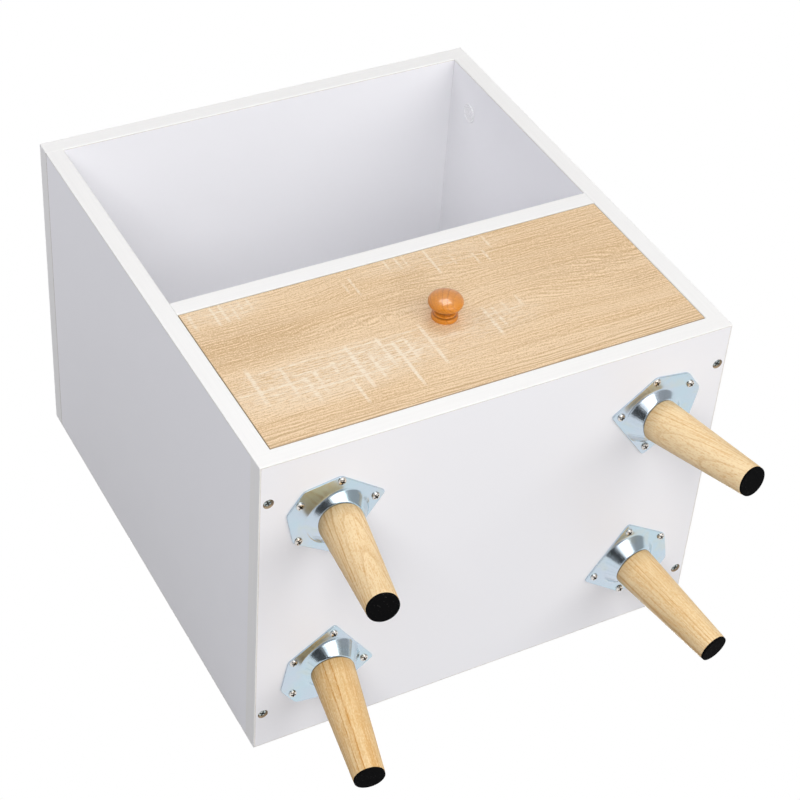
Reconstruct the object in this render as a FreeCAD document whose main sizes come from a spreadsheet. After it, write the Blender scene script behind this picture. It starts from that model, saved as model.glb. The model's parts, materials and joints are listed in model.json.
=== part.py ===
import FreeCAD, Part
import math
import os
import re
from collections import defaultdict

import Sketcher
from FreeCAD import Vector

# A bedside cabinet: open compartment above, one drawer below, four splayed legs.
# +Z is up and the front looks towards -Y. The origin is on the floor, in the middle of the outer box,
# whose depth runs from the crown of the knob to the back edges of the boards.

doc = FreeCAD.newDocument("nightstand")
sheet = doc.addObject("Spreadsheet::Sheet", "Sizes")

# Driving dimensions, in millimetres and degrees
sizes = {
    # boards of the carcass
    "width": 400,
    "depth": 300,
    "carcass_height": 433,
    "board": 15,
    "drawer_opening": 165,          # clear height between bottom panel and shelf
    "back_thickness": 3,
    "back_inset": 10,               # from the back edges of the boards to the back panel
    "groove_depth": 6,
    "groove_play": 0.15,            # on each face of a sheet in its groove
    # fixings of the carcass
    "joint_inset": 37,              # cams and screws, from the front and back edges
    "fit_play": 0.05,               # radial play of a pin or screw in its hole
    "hole_relief": 0.5,             # depth that a blind hole has to spare
    "cam_diameter": 15,
    "cam_setback": 34,              # from the end of the board to the middle of the cam
    "cam_skin": 2.6,                # board left behind a cam
    "cam_play": 0.3,                # radial, of a bolt's head in the cam
    "cam_recess_span": 6,
    "cam_recess_depth": 2,
    "bolt_thread": 6,
    "bolt_shaft": 5,
    "bolt_head": 7,
    "bolt_head_length": 4,
    "bolt_overreach": 2,            # of a cam bolt's head past the middle of the cam
    "bolt_play": 0.5,               # radial, of a bolt's head on its way to the cam
    "bolt_skin": 3,                 # board left ahead of a cam bolt
    "cap_diameter": 18,
    "cap_thickness": 0.8,
    "cap_rim": 0.4,                 # rise of a cover cap's rim over its middle
    "cap_rim_width": 1.4,
    "dowel_diameter": 8,
    "dowel_length": 30,
    "dowel_chamfer": 1,
    "dowel_skin": 5,                # board left ahead of a dowel
    "recess_span": 4,               # cross recess, the same in all screws
    "recess_arm": 1,
    "recess_depth": 1.2,
    "case_screw": 4,
    "case_screw_head": 7,
    "case_screw_length": 45,
    # legs
    "leg_length": 98,
    "leg_top": 35.2,
    "leg_foot": 25,
    "leg_tilt": 12,
    "leg_azimuth": 35,              # splay direction, measured from the X axis
    "leg_inset_side": 63.5,         # from the carcass faces to where the leg's axis meets its underside
    "leg_inset_front": 69.5,
    "leg_inset_back": 73,
    "seat_rise": 10,                # from the underside to the leg's top end, along the leg's axis
    "pad_diameter": 24.6,
    "pad_thickness": 2,
    "hanger_bolt": 8,
    "hanger_in_leg": 30,
    # leg plates
    "plate_sheet": 1.5,
    "plate_corner": 3,
    "nose_reach": 43,
    "nose_width": 23,
    "shoulder_reach": 21,
    "shoulder_width": 65,
    "tail_reach": 25.5,
    "tail_width": 62,
    "seat_margin": 0.4,             # of the dome's top around the leg
    "dome_flare": 7,                # of the dome from its top to its base
    "bolt_clearance": 0.4,          # radial, of the hanger bolt in the dome
    "nut_diameter": 16,
    "nut_space": 3.5,               # free length above the nut, along the leg's axis
    "plate_screw": 3.5,
    "plate_screw_head": 6.6,
    "plate_screw_rise": 2,
    "plate_screw_length": 12,
    "plate_hole_play": 0.4,         # radial play of a plate screw in the sheet
    "nose_screw": 38.5,
    "shoulder_screw_reach": 18.5,
    "shoulder_screw_spread": 58,
    "tail_screw_reach": 19.5,
    "tail_screw_spread": 49,
    # drawer
    "drawer_gap": 1.5,              # around the drawer front in its opening
    "front_thickness": 15,
    "drawer_board": 12,
    "drawer_headroom": 37,          # from the drawer's sides up to the shelf
    "drawer_rear_gap": 22,          # from the drawer's sides back to the back panel
    "drawer_sheet": 3,
    "drawer_sheet_rise": 10,        # from the lower edges of the sides to the bottom sheet
    "drawer_groove": 5,
    "drawer_cam": 12,
    "drawer_cam_setback": 24,
    "drawer_bolt_thread": 5,
    "drawer_bolt_shaft": 4,
    "drawer_bolt_head": 4.8,
    "drawer_joint_pitch": 50,       # between cam and dowel, and between the two screws at the back
    "drawer_screw": 3.5,
    "drawer_screw_head": 6.6,
    "drawer_screw_length": 32,
    # knob
    "knob_base": 19.7,
    "knob_base_height": 3.2,
    "knob_groove": 0.7,             # depth, and width of each flank, of the turned grooves
    "knob_ring": 17.6,
    "knob_ring_height": 1.2,
    "knob_neck": 13.4,
    "knob_neck_height": 2.9,
    "knob_throat": 2.5,             # height of the hollow curve from the neck to the head
    "knob_throat_round": 7,
    "knob_head": 27.8,
    "knob_rim": 3.6,                # rounding of the head's rim
    "knob_under_angle": 70,         # where the underside meets the rounded rim
    "knob_crown_angle": 64,         # where the crown leaves it
    "knob_crown": 2.26,             # rise of the crown over the rim
    "knob_screw": 4,
    "knob_screw_head": 8,
    "knob_screw_rise": 2.4,
    "knob_screw_reach": 11,         # into the knob
    # roller runners
    "runner_play": 2.5,             # between the front axle's head and the drawer rail
    "runner_rise": 5,               # from the bottom panel up to the cabinet rail
    "rail_sheet": 1,
    "rail_setback": 2,              # cabinet rail behind the drawer front
    "rail_flange": 8.5,
    "roller_diameter": 17,
    "roller_width": 5.5,
    "roller_near": 2.5,             # from the carcass side to the roller
    "roller_gap": 0.3,              # between a roller and the track that it runs on
    "roller_headroom": 0.7,         # between the rear roller and the upper flange
    "roller_proud": 1,              # of the front roller over the cabinet rail
    "roller_inset": 12,             # from the rail's end to the roller's axle
    "roller_notch_play": 3.5,       # from the front roller to the upper flange
    "roller_end_play": 0.2,
    "roller_chamfer": 0.6,
    "axle_diameter": 4,
    "axle_play": 0.05,
    "axle_shoulder": 6,
    "axle_head": 7,
    "axle_head_length": 0.8,
    "drawer_drop": 3,               # lower edge of the drawer's sides above the cabinet rail's lower face
    "drawer_rail_clear": 3,         # from the carcass side to the drawer rail's flange
    "drawer_rail_foot": 8,
    "rail_screw": 3.5,
    "rail_screw_head": 5.4,
    "rail_screw_length": 10,
    "rail_screw_inset": 35,         # from the ends of a rail
    "drawer_rail_screw_rise": 5,    # over the lower edges of the drawer's sides
}
for row, (alias, number) in enumerate(sizes.items(), start=1):
    sheet.set(f"A{row}", alias)
    sheet.set(f"B{row}", str(number))
    sheet.setAlias(f"B{row}", alias)
doc.recompute()

# Places that follow from the sizes, as expressions on the sheet's cells
knob_neck_start = "(knob_base_height + 3 * knob_groove + knob_ring_height)"
knob_under = f"({knob_neck_start} + knob_neck_height + knob_throat)"
knob_rim_height = f"({knob_under} + knob_rim * sin(knob_under_angle))"
knob_crown_start = f"({knob_rim_height} + knob_rim * sin(knob_crown_angle))"
knob_length = f"({knob_crown_start} + knob_crown)"
front = f"(({knob_length} - depth) / 2)"
back = f"({front} + depth)"
reach = "(seat_rise + leg_length + pad_thickness)"
underside = f"({reach} * cos(leg_tilt) + pad_diameter / 2 * sin(leg_tilt))"
inner = "(width / 2 - board)"
side_middle = "(width / 2 - board / 2)"
case_floor = f"({underside} + board)"
shelf_low = f"({case_floor} + drawer_opening)"
shelf_middle = f"({shelf_low} + board / 2)"
top_low = f"({underside} + carcass_height - board)"
back_face = f"({back} - back_inset - back_thickness)"
joint_rows = [f"({front} + joint_inset)", f"({back} - joint_inset)"]
middle_row = f"({front} + depth / 2)"
dowel_in_face = "(board - dowel_skin - hole_relief)"

roller_far = "(roller_near + roller_width)"
runner_gap = f"({roller_far} + roller_end_play + axle_head_length + runner_play + rail_sheet)"
drawer_start = f"({front} + front_thickness)"
drawer_length = "(depth - front_thickness - back_inset - back_thickness - drawer_rear_gap)"
drawer_end = f"({drawer_start} + {drawer_length})"
drawer_outer = f"({inner} - {runner_gap})"
drawer_inner = f"({drawer_outer} - drawer_board)"
drawer_low = f"({case_floor} + runner_rise + drawer_drop)"
drawer_height = "(drawer_opening - runner_rise - drawer_drop - drawer_headroom)"
drawer_middle = f"({drawer_low} + {drawer_height} / 2)"
drawer_back_face = f"({drawer_end} - drawer_board)"
sheet_low = f"({drawer_low} + drawer_sheet_rise)"
knob_height = f"({case_floor} + drawer_opening / 2)"

rail_low = f"({case_floor} + runner_rise)"
rail_height = "(roller_diameter + 2 * rail_sheet + roller_gap + roller_headroom)"
rail_start = f"({drawer_start} + rail_setback)"
rail_length = f"({drawer_length} - rail_setback)"
roller_notch = "(roller_inset + roller_diameter / 2 + roller_notch_play)"
front_axle_height = f"({rail_low} + {rail_height} + roller_proud - roller_diameter / 2)"
front_axle_y = f"({rail_start} + roller_inset)"
rear_axle_height = f"({rail_low} + rail_sheet + roller_gap + roller_diameter / 2)"
rear_axle_y = f"({drawer_end} - roller_inset)"
drawer_flange_low = f"({rail_low} + {rail_height} + roller_proud + roller_gap)"

sides = {"left": -1, "right": 1}
corners = {
    "front_left": (-1, -1, "180 + leg_azimuth"),
    "front_right": (1, -1, "-leg_azimuth"),
    "back_left": (-1, 1, "180 - leg_azimuth"),
    "back_right": (1, 1, "leg_azimuth"),
}
# yaw, pitch and roll that turn +Z to each direction
turns = {
    "+x": ("0", "90", "0"),
    "-x": ("0", "-90", "0"),
    "+y": ("0", "0", "-90"),
    "-y": ("0", "0", "90"),
    "+z": ("0", "0", "0"),
    "-z": ("0", "0", "180"),
}
nodes = []
cuts = defaultdict(list)
groups = defaultdict(list)


def cells(text):
    # expressions are written with the bare names of the sheet's cells
    return re.sub(r"[a-z_]+", lambda word: "Sizes." + word[0] if word[0] in sizes else word[0], text)


def value(text):
    return float(sheet.evalExpression(cells(text)))


def bind(thing, **expressions):
    for name, text in expressions.items():
        thing.setExpression(name, cells(text))


def placed(spot, turn=turns["+z"]):
    return f"placement(vector({'; '.join(spot)}); rotation({'; '.join(turn)}))"


def block(name, size, corner):
    solid = doc.addObject("Part::Box", name)
    bind(solid, Length=size[0], Width=size[1], Height=size[2], Placement=placed(corner))
    return solid


def rod(name, diameter, length, spot, direction="+z"):
    solid = doc.addObject("Part::Cylinder", name)
    bind(solid, Radius=f"({diameter}) / 2", Height=length, Placement=placed(spot, turns[direction]))
    return solid


def joined(name, pieces):
    if len(pieces) == 1:
        return pieces[0]
    whole = doc.addObject("Part::MultiFuse", name)
    whole.Shapes = pieces
    return whole


def less(label, blank, tools):
    # a blank with its grooves and holes cut out
    piece = doc.addObject("Part::Cut", label)
    piece.Base = blank
    piece.Tool = joined(label + "_cuts", tools)
    nodes.append(piece)
    return piece


def board_piece(label, size, corner):
    return less(label, block(label + "_blank", size, corner), cuts[label])


def origin_plane(body, role):
    return next(feature for feature in body.Origin.OriginFeatures if feature.Role == role)


def new_sketch(body, name, plane, offset=None):
    sketch = body.newObject("Sketcher::SketchObject", name)
    sketch.AttachmentSupport = [(origin_plane(body, plane), "")]
    sketch.MapMode = "FlatFace"
    if offset:
        bind(sketch, AttachmentOffset=offset)
    return sketch


def datum(sketch, text, *constraint):
    index = sketch.addConstraint(Sketcher.Constraint(*constraint, value(text)))
    bind(sketch, **{f"Constraints[{index}]": text})


def pin(sketch, geometry, position, spot):
    # ties a point to the sketch's own axes
    for text, kind, axis in ((spot[0], "DistanceX", -2), (spot[1], "DistanceY", -1)):
        if text == "0":
            sketch.addConstraint(Sketcher.Constraint("PointOnObject", geometry, position, axis))
        else:
            datum(sketch, text, kind, -1, 1, geometry, position)


def arc_between(start, end, radius, turn):
    # turn is 1 for an arc that runs counter-clockwise from start to end, -1 for the other way
    chord = end - start
    rise = math.sqrt(radius ** 2 - (chord.Length / 2) ** 2)
    across = Vector(-chord.y, chord.x, 0).normalize()
    centre = start + chord / 2 + across * rise * turn
    first, last = (start, end) if turn > 0 else (end, start)
    angles = [math.atan2(spot.y - centre.y, spot.x - centre.x) for spot in (first, last)]
    return Part.ArcOfCircle(Part.Circle(centre, Vector(0, 0, 1), radius), *angles)


def outline(body, name, plane, points, offset=None):
    # a closed profile; a point with a radius and a turn starts an arc, any other a straight line
    sketch = new_sketch(body, name, plane, offset)
    spots = [Vector(value(point[0]), value(point[1]), 0) for point in points]
    ends = []
    for index, point in enumerate(points):
        start, end = spots[index], spots[(index + 1) % len(points)]
        if len(point) == 2:
            geometry = sketch.addGeometry(Part.LineSegment(start, end))
            ends.append([(geometry, 1), (geometry, 2)])
        else:
            radius, turn = point[2:]
            geometry = sketch.addGeometry(arc_between(start, end, value(radius), turn))
            ends.append([(geometry, 1), (geometry, 2)][::turn])
    for index in range(len(points)):
        following = ends[(index + 1) % len(points)][0]
        sketch.addConstraint(Sketcher.Constraint("Coincident", *ends[index][1], *following))
    for index, point in enumerate(points):
        pin(sketch, *ends[index][0], point[:2])
    for index, point in enumerate(points):
        if len(point) > 2:
            datum(sketch, point[2], "Radius", ends[index][0][0])
    return sketch


def circles(body, name, plane, centres, diameter, offset=None):
    sketch = new_sketch(body, name, plane, offset)
    radius = f"({diameter}) / 2"
    for centre in centres:
        spot = Vector(value(centre[0]), value(centre[1]), 0)
        geometry = sketch.addGeometry(Part.Circle(spot, Vector(0, 0, 1), value(radius)))
        pin(sketch, geometry, 3, centre)
        datum(sketch, radius, "Radius", geometry)
    return sketch


def turned(label, points):
    # a piece turned about its own Z axis; points are radius and height
    body = doc.addObject("PartDesign::Body", label)
    revolution = body.newObject("PartDesign::Revolution", label + "_turning")
    profile = outline(body, label + "_profile", "XZ_Plane", points)
    revolution.Profile = profile
    revolution.ReferenceAxis = (profile, ["V_Axis"])
    revolution.Angle = 360
    return body


def pocket(body, name, sketch, depth, onward=False):
    # cuts against the sketch's normal, or along it where onward is set
    doc.recompute()
    before = body.Shape.Volume
    feature = body.newObject("PartDesign::Pocket", name)
    feature.Profile = sketch
    feature.Reversed = onward
    bind(feature, Length=depth)
    doc.recompute()
    if body.Shape.Volume >= before:
        raise ValueError(f"{name} cuts nothing")


def plug(label, diameter, low, high):
    return turned(label, [
        ("0", low),
        (f"({diameter}) / 2", low),
        (f"({diameter}) / 2", high),
        ("0", high),
    ])


def cross_recess(body, height, span="recess_span", depth="recess_depth"):
    # the plus-shaped drive of a cross-head screw
    far = f"({span}) / 2"
    near = "recess_arm / 2"
    quarter = [(far, f"-({near})"), (far, near), (near, near)]
    points = []
    for quarter_turn in range(4):
        points += quarter
        quarter = [(f"-({y})", x) for x, y in quarter]
    cross = outline(body, body.Label + "_cross", "XY_Plane", points, placed(("0", "0", height)))
    pocket(body, body.Label + "_recess", cross, depth)


def pan_screw(label, head, rise, shank, length):
    # seat of the head at height 0, shank downwards
    tip = f"({shank}) / 2"
    crown = f"(({head}) ^ 2 / 4 + ({rise}) ^ 2) / (2 * ({rise}))"
    screw = turned(label, [
        ("0", f"-({length})"),
        (tip, f"-({length}) + {tip}"),
        (tip, "0"),
        (f"({head}) / 2", "0", crown, 1),
        ("0", rise),
    ])
    cross_recess(screw, rise)
    return screw


def flat_screw(label, head, shank, length, play="0"):
    # face of the countersunk head at height 0, shank downwards
    core = f"(({shank}) / 2 + {play})"
    edge = f"(({head}) / 2 + {play})"
    return turned(label, [
        ("0", f"-({length})"),
        (core, f"-({length}) + {core}"),
        (core, f"{core} - {edge}"),
        (edge, "0"),
        ("0", "0"),
    ])


def flat_screw_set(label, head, shank, length):
    # the screw, and the cutter for its hole
    screw = flat_screw(label, head, shank, length)
    cross_recess(screw, "0")
    hole = flat_screw(label + "_hole", head, shank, f"{length} + hole_relief", "fit_play")
    return screw, hole


def cam_set(label, diameter, thickness, head):
    # driven face at height 0; the bolt comes in along +X, half way through the board
    cam = plug(label, diameter, f"cam_skin + hole_relief - {thickness}", "0")
    start = placed(("0", "0", "-bolt_overreach - hole_relief"))
    bore = f"{head} + 2 * cam_play"
    way_in = circles(cam, label + "_way_in", "YZ_Plane", [("0", f"-{thickness} / 2")], bore, start)
    pocket(cam, label + "_bore", way_in, f"{diameter} / 2 + bolt_overreach + hole_relief", onward=True)
    cross_recess(cam, "0", "cam_recess_span", "cam_recess_depth")
    hole = plug(label + "_hole", f"{diameter} + 2 * fit_play", f"cam_skin - {thickness}", "0")
    return cam, hole


def bolt_set(label, thread, shaft, head, thickness, setback):
    # face of the board that it is driven into at height 0, shaft upwards
    grip = f"({thickness} - bolt_skin - hole_relief)"
    tip = f"({setback} + bolt_overreach)"
    way = f"({head} / 2 + bolt_play)"
    bolt = turned(label, [
        ("0", f"-{grip}"),
        (f"{thread} / 2", f"-{grip}"),
        (f"{thread} / 2", "0"),
        (f"{shaft} / 2", "0"),
        (f"{shaft} / 2", f"{tip} - bolt_head_length"),
        (f"{head} / 2", f"{tip} - bolt_head_length"),
        (f"{head} / 2", tip),
        ("0", tip),
    ])
    hole = turned(label + "_hole", [
        ("0", f"-({thickness} - bolt_skin)"),
        (f"{thread} / 2 + fit_play", f"-({thickness} - bolt_skin)"),
        (f"{thread} / 2 + fit_play", "0"),
        (way, "0"),
        (way, setback),
        ("0", setback),
    ])
    return bolt, hole


def dowel_set():
    # lower end at height 0
    bevel = "(dowel_diameter / 2 - dowel_chamfer)"
    dowel = turned("dowel", [
        ("0", "0"),
        (bevel, "0"),
        ("dowel_diameter / 2", "dowel_chamfer"),
        ("dowel_diameter / 2", "dowel_length - dowel_chamfer"),
        (bevel, "dowel_length"),
        ("0", "dowel_length"),
    ])
    hole = plug("dowel_hole", "dowel_diameter + 2 * fit_play", "-hole_relief", "dowel_length + hole_relief")
    return dowel, hole


def copy_of(master, place):
    copy = doc.addObject("App::Link", master.Name + "_copy")
    copy.LinkedObject = master
    bind(copy, Placement=place)
    return copy


def fasten(group, fixing, place, boards):
    # one more piece of a group, with its hole in each board that it goes through
    piece, hole = fixing
    groups[group].append(copy_of(piece, place))
    if boards:
        room = copy_of(hole, place)
        for label in boards:
            cuts[label].append(room)


def gathered(label):
    group = doc.addObject("Part::Compound", label)
    group.Links = groups[label]
    nodes.append(group)


def across(sign, distance):
    # X at a distance from the inner face of a carcass side
    return f"{sign} * ({inner} - ({distance}))"


def spanning(sign, near, far):
    # lowest X and length of a stretch between two distances from a carcass side
    return across(sign, near if sign < 0 else far), f"({far}) - ({near})"


# Corner joints of the carcass
dowels = dowel_set()
cams = cam_set("cam", "cam_diameter", "board", "bolt_head")
bolts = bolt_set("cam_bolt", "bolt_thread", "bolt_shaft", "bolt_head", "board", "cam_setback")
cap = turned("cap", [
    ("0", "0"),
    ("cap_diameter / 2", "0"),
    ("cap_diameter / 2", "cap_thickness"),
    ("cap_diameter / 2 - cap_rim", "cap_thickness + cap_rim"),
    ("cap_diameter / 2 - cap_rim_width + cap_rim", "cap_thickness + cap_rim"),
    ("cap_diameter / 2 - cap_rim_width", "cap_thickness"),
    ("0", "cap_thickness"),
])
case_screws = flat_screw_set("case_screw", "case_screw_head", "case_screw", "case_screw_length")
for side, sign in sides.items():
    panel = side + "_side_panel"
    inward = turns["+x" if sign < 0 else "-x"]
    facing_up = ("180" if sign < 0 else "0", "-90", "0")
    facing_down = ("180" if sign < 0 else "0", "0", "180")
    edge = f"{sign} * {side_middle}"
    face = f"{sign} * {inner}"
    for row in joint_rows:
        top_joint = (edge, row, top_low)
        top_cam = (face, row, f"{top_low} - cam_setback")
        shelf_joint = (face, row, shelf_middle)
        shelf_cam = (across(sign, "cam_setback"), row, shelf_low)
        fasten("top_cam_bolts", bolts, placed(top_joint, turns["-z"]), [panel, "top_panel"])
        fasten("top_cam_locks", cams, placed(top_cam, facing_up), [panel])
        fasten("cam_cover_caps", (cap, None), placed(top_cam, facing_up), [])
        fasten("shelf_cam_bolts", bolts, placed(shelf_joint, inward), [panel, "shelf_panel"])
        fasten("shelf_cam_locks", cams, placed(shelf_cam, facing_down), ["shelf_panel"])
        fasten("bottom_panel_screws", case_screws, placed((edge, row, underside), turns["-z"]),
               [panel, "bottom_panel"])
    top_dowel = placed((edge, middle_row, f"{top_low} + {dowel_in_face}"), turns["-z"])
    low_dowel = placed((edge, middle_row, f"{case_floor} - {dowel_in_face}"))
    shelf_dowel = placed((across(sign, f"-{dowel_in_face}"), middle_row, shelf_middle), inward)
    fasten("carcass_dowels", dowels, top_dowel, [panel, "top_panel"])
    fasten("carcass_dowels", dowels, low_dowel, [panel, "bottom_panel"])
    fasten("carcass_dowels", dowels, shelf_dowel, [panel, "shelf_panel"])

# Grooves for the back panel
groove_y = f"({back_face} - groove_play)"
groove_width = "back_thickness + 2 * groove_play"
for side, sign in sides.items():
    start, deep = spanning(sign, "-groove_depth", "0")
    groove = block(side + "_groove", (deep, groove_width, "carcass_height - 2 * board"),
                   (start, groove_y, case_floor))
    cuts[side + "_side_panel"].append(groove)
for label, low in (("bottom_panel", f"{case_floor} - groove_depth"), ("top_panel", top_low)):
    groove = block(label + "_groove", (f"2 * ({inner} + groove_depth)", groove_width, "groove_depth"),
                   (f"-({inner} + groove_depth)", groove_y, low))
    cuts[label].append(groove)

# Legs on their plates
plate_screw = pan_screw("plate_screw", "plate_screw_head", "plate_screw_rise", "plate_screw",
                        "plate_screw_length")
plate_screw_hole = plug("plate_screw_hole", "plate_screw + 2 * fit_play",
                        "-plate_screw_length - hole_relief", "0")
plate_screws = (plate_screw, plate_screw_hole)
hanger_bolt = plug("hanger_bolt", "hanger_bolt", "-seat_rise - hanger_in_leg", "-nut_space")
plate_nut = turned("plate_nut", [
    ("hanger_bolt / 2 + fit_play", "plate_sheet - seat_rise"),
    ("nut_diameter / 2", "plate_sheet - seat_rise"),
    ("nut_diameter / 2", "-nut_space"),
    ("hanger_bolt / 2 + fit_play", "-nut_space"),
])
screw_spots = [("nose_screw", "0")]
for half in ("-", ""):
    screw_spots.append(("shoulder_screw_reach", f"{half}shoulder_screw_spread / 2"))
    screw_spots.append(("-tail_screw_reach", f"{half}tail_screw_spread / 2"))


def seat_plane(distance):
    # a plane square to the leg's axis, in the plate's own frame
    return placed((f"({distance}) * sin(leg_tilt)", "0", f"-({distance}) * cos(leg_tilt)"),
                  ("0", "-leg_tilt", "0"))


def leg_plate(label):
    # flat hexagon with a dome whose top is square to the leg
    body = doc.addObject("PartDesign::Body", label)
    half_outline = [
        ("nose_reach", "nose_width / 2"),
        ("shoulder_reach", "shoulder_width / 2"),
        ("-tail_reach", "tail_width / 2"),
    ]
    corners_round = half_outline + [(x, f"-{y}") for x, y in half_outline[::-1]]
    flange = body.newObject("PartDesign::Pad", label + "_flange")
    flange.Profile = outline(body, label + "_outline", "XY_Plane", corners_round)
    flange.Reversed = True
    bind(flange, Length="plate_sheet")
    doc.recompute()
    upright = [f"Edge{index}" for index, edge in enumerate(flange.Shape.Edges, start=1)
               if abs(edge.tangentAt(edge.FirstParameter).z) > 0.9]
    rounding = body.newObject("PartDesign::Fillet", label + "_corners")
    rounding.Base = (flange, upright)
    bind(rounding, Radius="plate_corner")
    middle = [("0", "0")]
    dome_top = "(leg_top + 2 * seat_margin)"
    dome_base = f"({dome_top} + 2 * dome_flare)"
    dome = body.newObject("PartDesign::AdditiveLoft", label + "_dome")
    dome.Profile = circles(body, label + "_dome_base", "XY_Plane", middle, dome_base,
                           placed(("0", "0", "-plate_sheet")))
    dome.Sections = [circles(body, label + "_dome_top", "XY_Plane", middle, dome_top,
                             seat_plane("seat_rise"))]
    dome.Ruled = True
    doc.recompute()
    hollow = body.newObject("PartDesign::SubtractiveLoft", label + "_hollow")
    hollow.Profile = circles(body, label + "_hollow_base", "XY_Plane", middle,
                             f"{dome_base} - 2 * plate_sheet")
    hollow.Sections = [circles(body, label + "_hollow_top", "XY_Plane", middle,
                               f"{dome_top} - 2 * plate_sheet", seat_plane("seat_rise - plate_sheet"))]
    hollow.Ruled = True
    holes = circles(body, label + "_screw_spots", "XY_Plane", screw_spots,
                    "plate_screw + 2 * plate_hole_play")
    pocket(body, label + "_screw_holes", holes, "plate_sheet")
    way = circles(body, label + "_bolt_spot", "XY_Plane", middle, "hanger_bolt + 2 * bolt_clearance",
                  seat_plane("seat_rise - plate_sheet"))
    pocket(body, label + "_bolt_hole", way, "plate_sheet")
    return body


for corner, (across_sign, along_sign, yaw) in corners.items():
    leg_x = f"{across_sign} * (width / 2 - leg_inset_side)"
    leg_y = f"({front} + leg_inset_front)" if along_sign < 0 else f"({back} - leg_inset_back)"
    plate_place = placed((leg_x, leg_y, underside), (yaw, "0", "0"))
    leg_place = placed((leg_x, leg_y, underside), (yaw, "-leg_tilt", "0"))
    for along, aside in screw_spots:
        spot = (f"{leg_x} + ({along}) * cos({yaw}) - ({aside}) * sin({yaw})",
                f"{leg_y} + ({along}) * sin({yaw}) + ({aside}) * cos({yaw})",
                f"{underside} - plate_sheet")
        fasten("leg_plate_screws", plate_screws, placed(spot, (yaw, "0", "180")), ["bottom_panel"])
    fasten("leg_plate_nuts", (plate_nut, None), leg_place, [])
    fasten("leg_hanger_bolts", (hanger_bolt, None), leg_place, [])
    plate = leg_plate("leg_plate_" + corner)
    bind(plate, Placement=plate_place)
    hole = "hanger_bolt / 2 + fit_play"
    hole_end = "-seat_rise - hanger_in_leg - hole_relief"
    leg = turned("leg_" + corner, [
        ("0", "-seat_rise - leg_length"),
        ("leg_foot / 2", "-seat_rise - leg_length"),
        ("leg_top / 2", "-seat_rise"),
        (hole, "-seat_rise"),
        (hole, hole_end),
        ("0", hole_end),
    ])
    pad = plug("foot_pad_" + corner, "pad_diameter", f"-{reach}", "-seat_rise - leg_length")
    for piece in (leg, pad):
        bind(piece, Placement=leg_place)
    nodes += [plate, leg, pad]

# Roller runners
rail_screws = flat_screw_set("rail_screw", "rail_screw_head", "rail_screw", "rail_screw_length")


def roller(label):
    # near face at height 0
    bore = "axle_diameter / 2 + axle_play"
    bevel = "roller_diameter / 2 - roller_chamfer"
    return turned(label, [
        (bore, "0"),
        (bevel, "0"),
        ("roller_diameter / 2", "roller_chamfer"),
        ("roller_diameter / 2", "roller_width - roller_chamfer"),
        (bevel, "roller_width"),
        (bore, "roller_width"),
    ])


def axle(label, shoulder_end, journal_end):
    # riveted into its rail at height 0, with a head that keeps the roller on
    return turned(label, [
        ("0", "0"),
        ("axle_diameter / 2", "0"),
        ("axle_diameter / 2", "rail_sheet"),
        ("axle_shoulder / 2", "rail_sheet"),
        ("axle_shoulder / 2", shoulder_end),
        ("axle_diameter / 2", shoulder_end),
        ("axle_diameter / 2", journal_end),
        ("axle_head / 2", journal_end),
        ("axle_head / 2", f"{journal_end} + axle_head_length"),
        ("0", f"{journal_end} + axle_head_length"),
    ])


def rail_rows(start, length):
    end = f"{start} + {length}"
    return [f"{start} + rail_screw_inset", f"{start} + {length} / 2", f"{end} - rail_screw_inset"]


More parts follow.
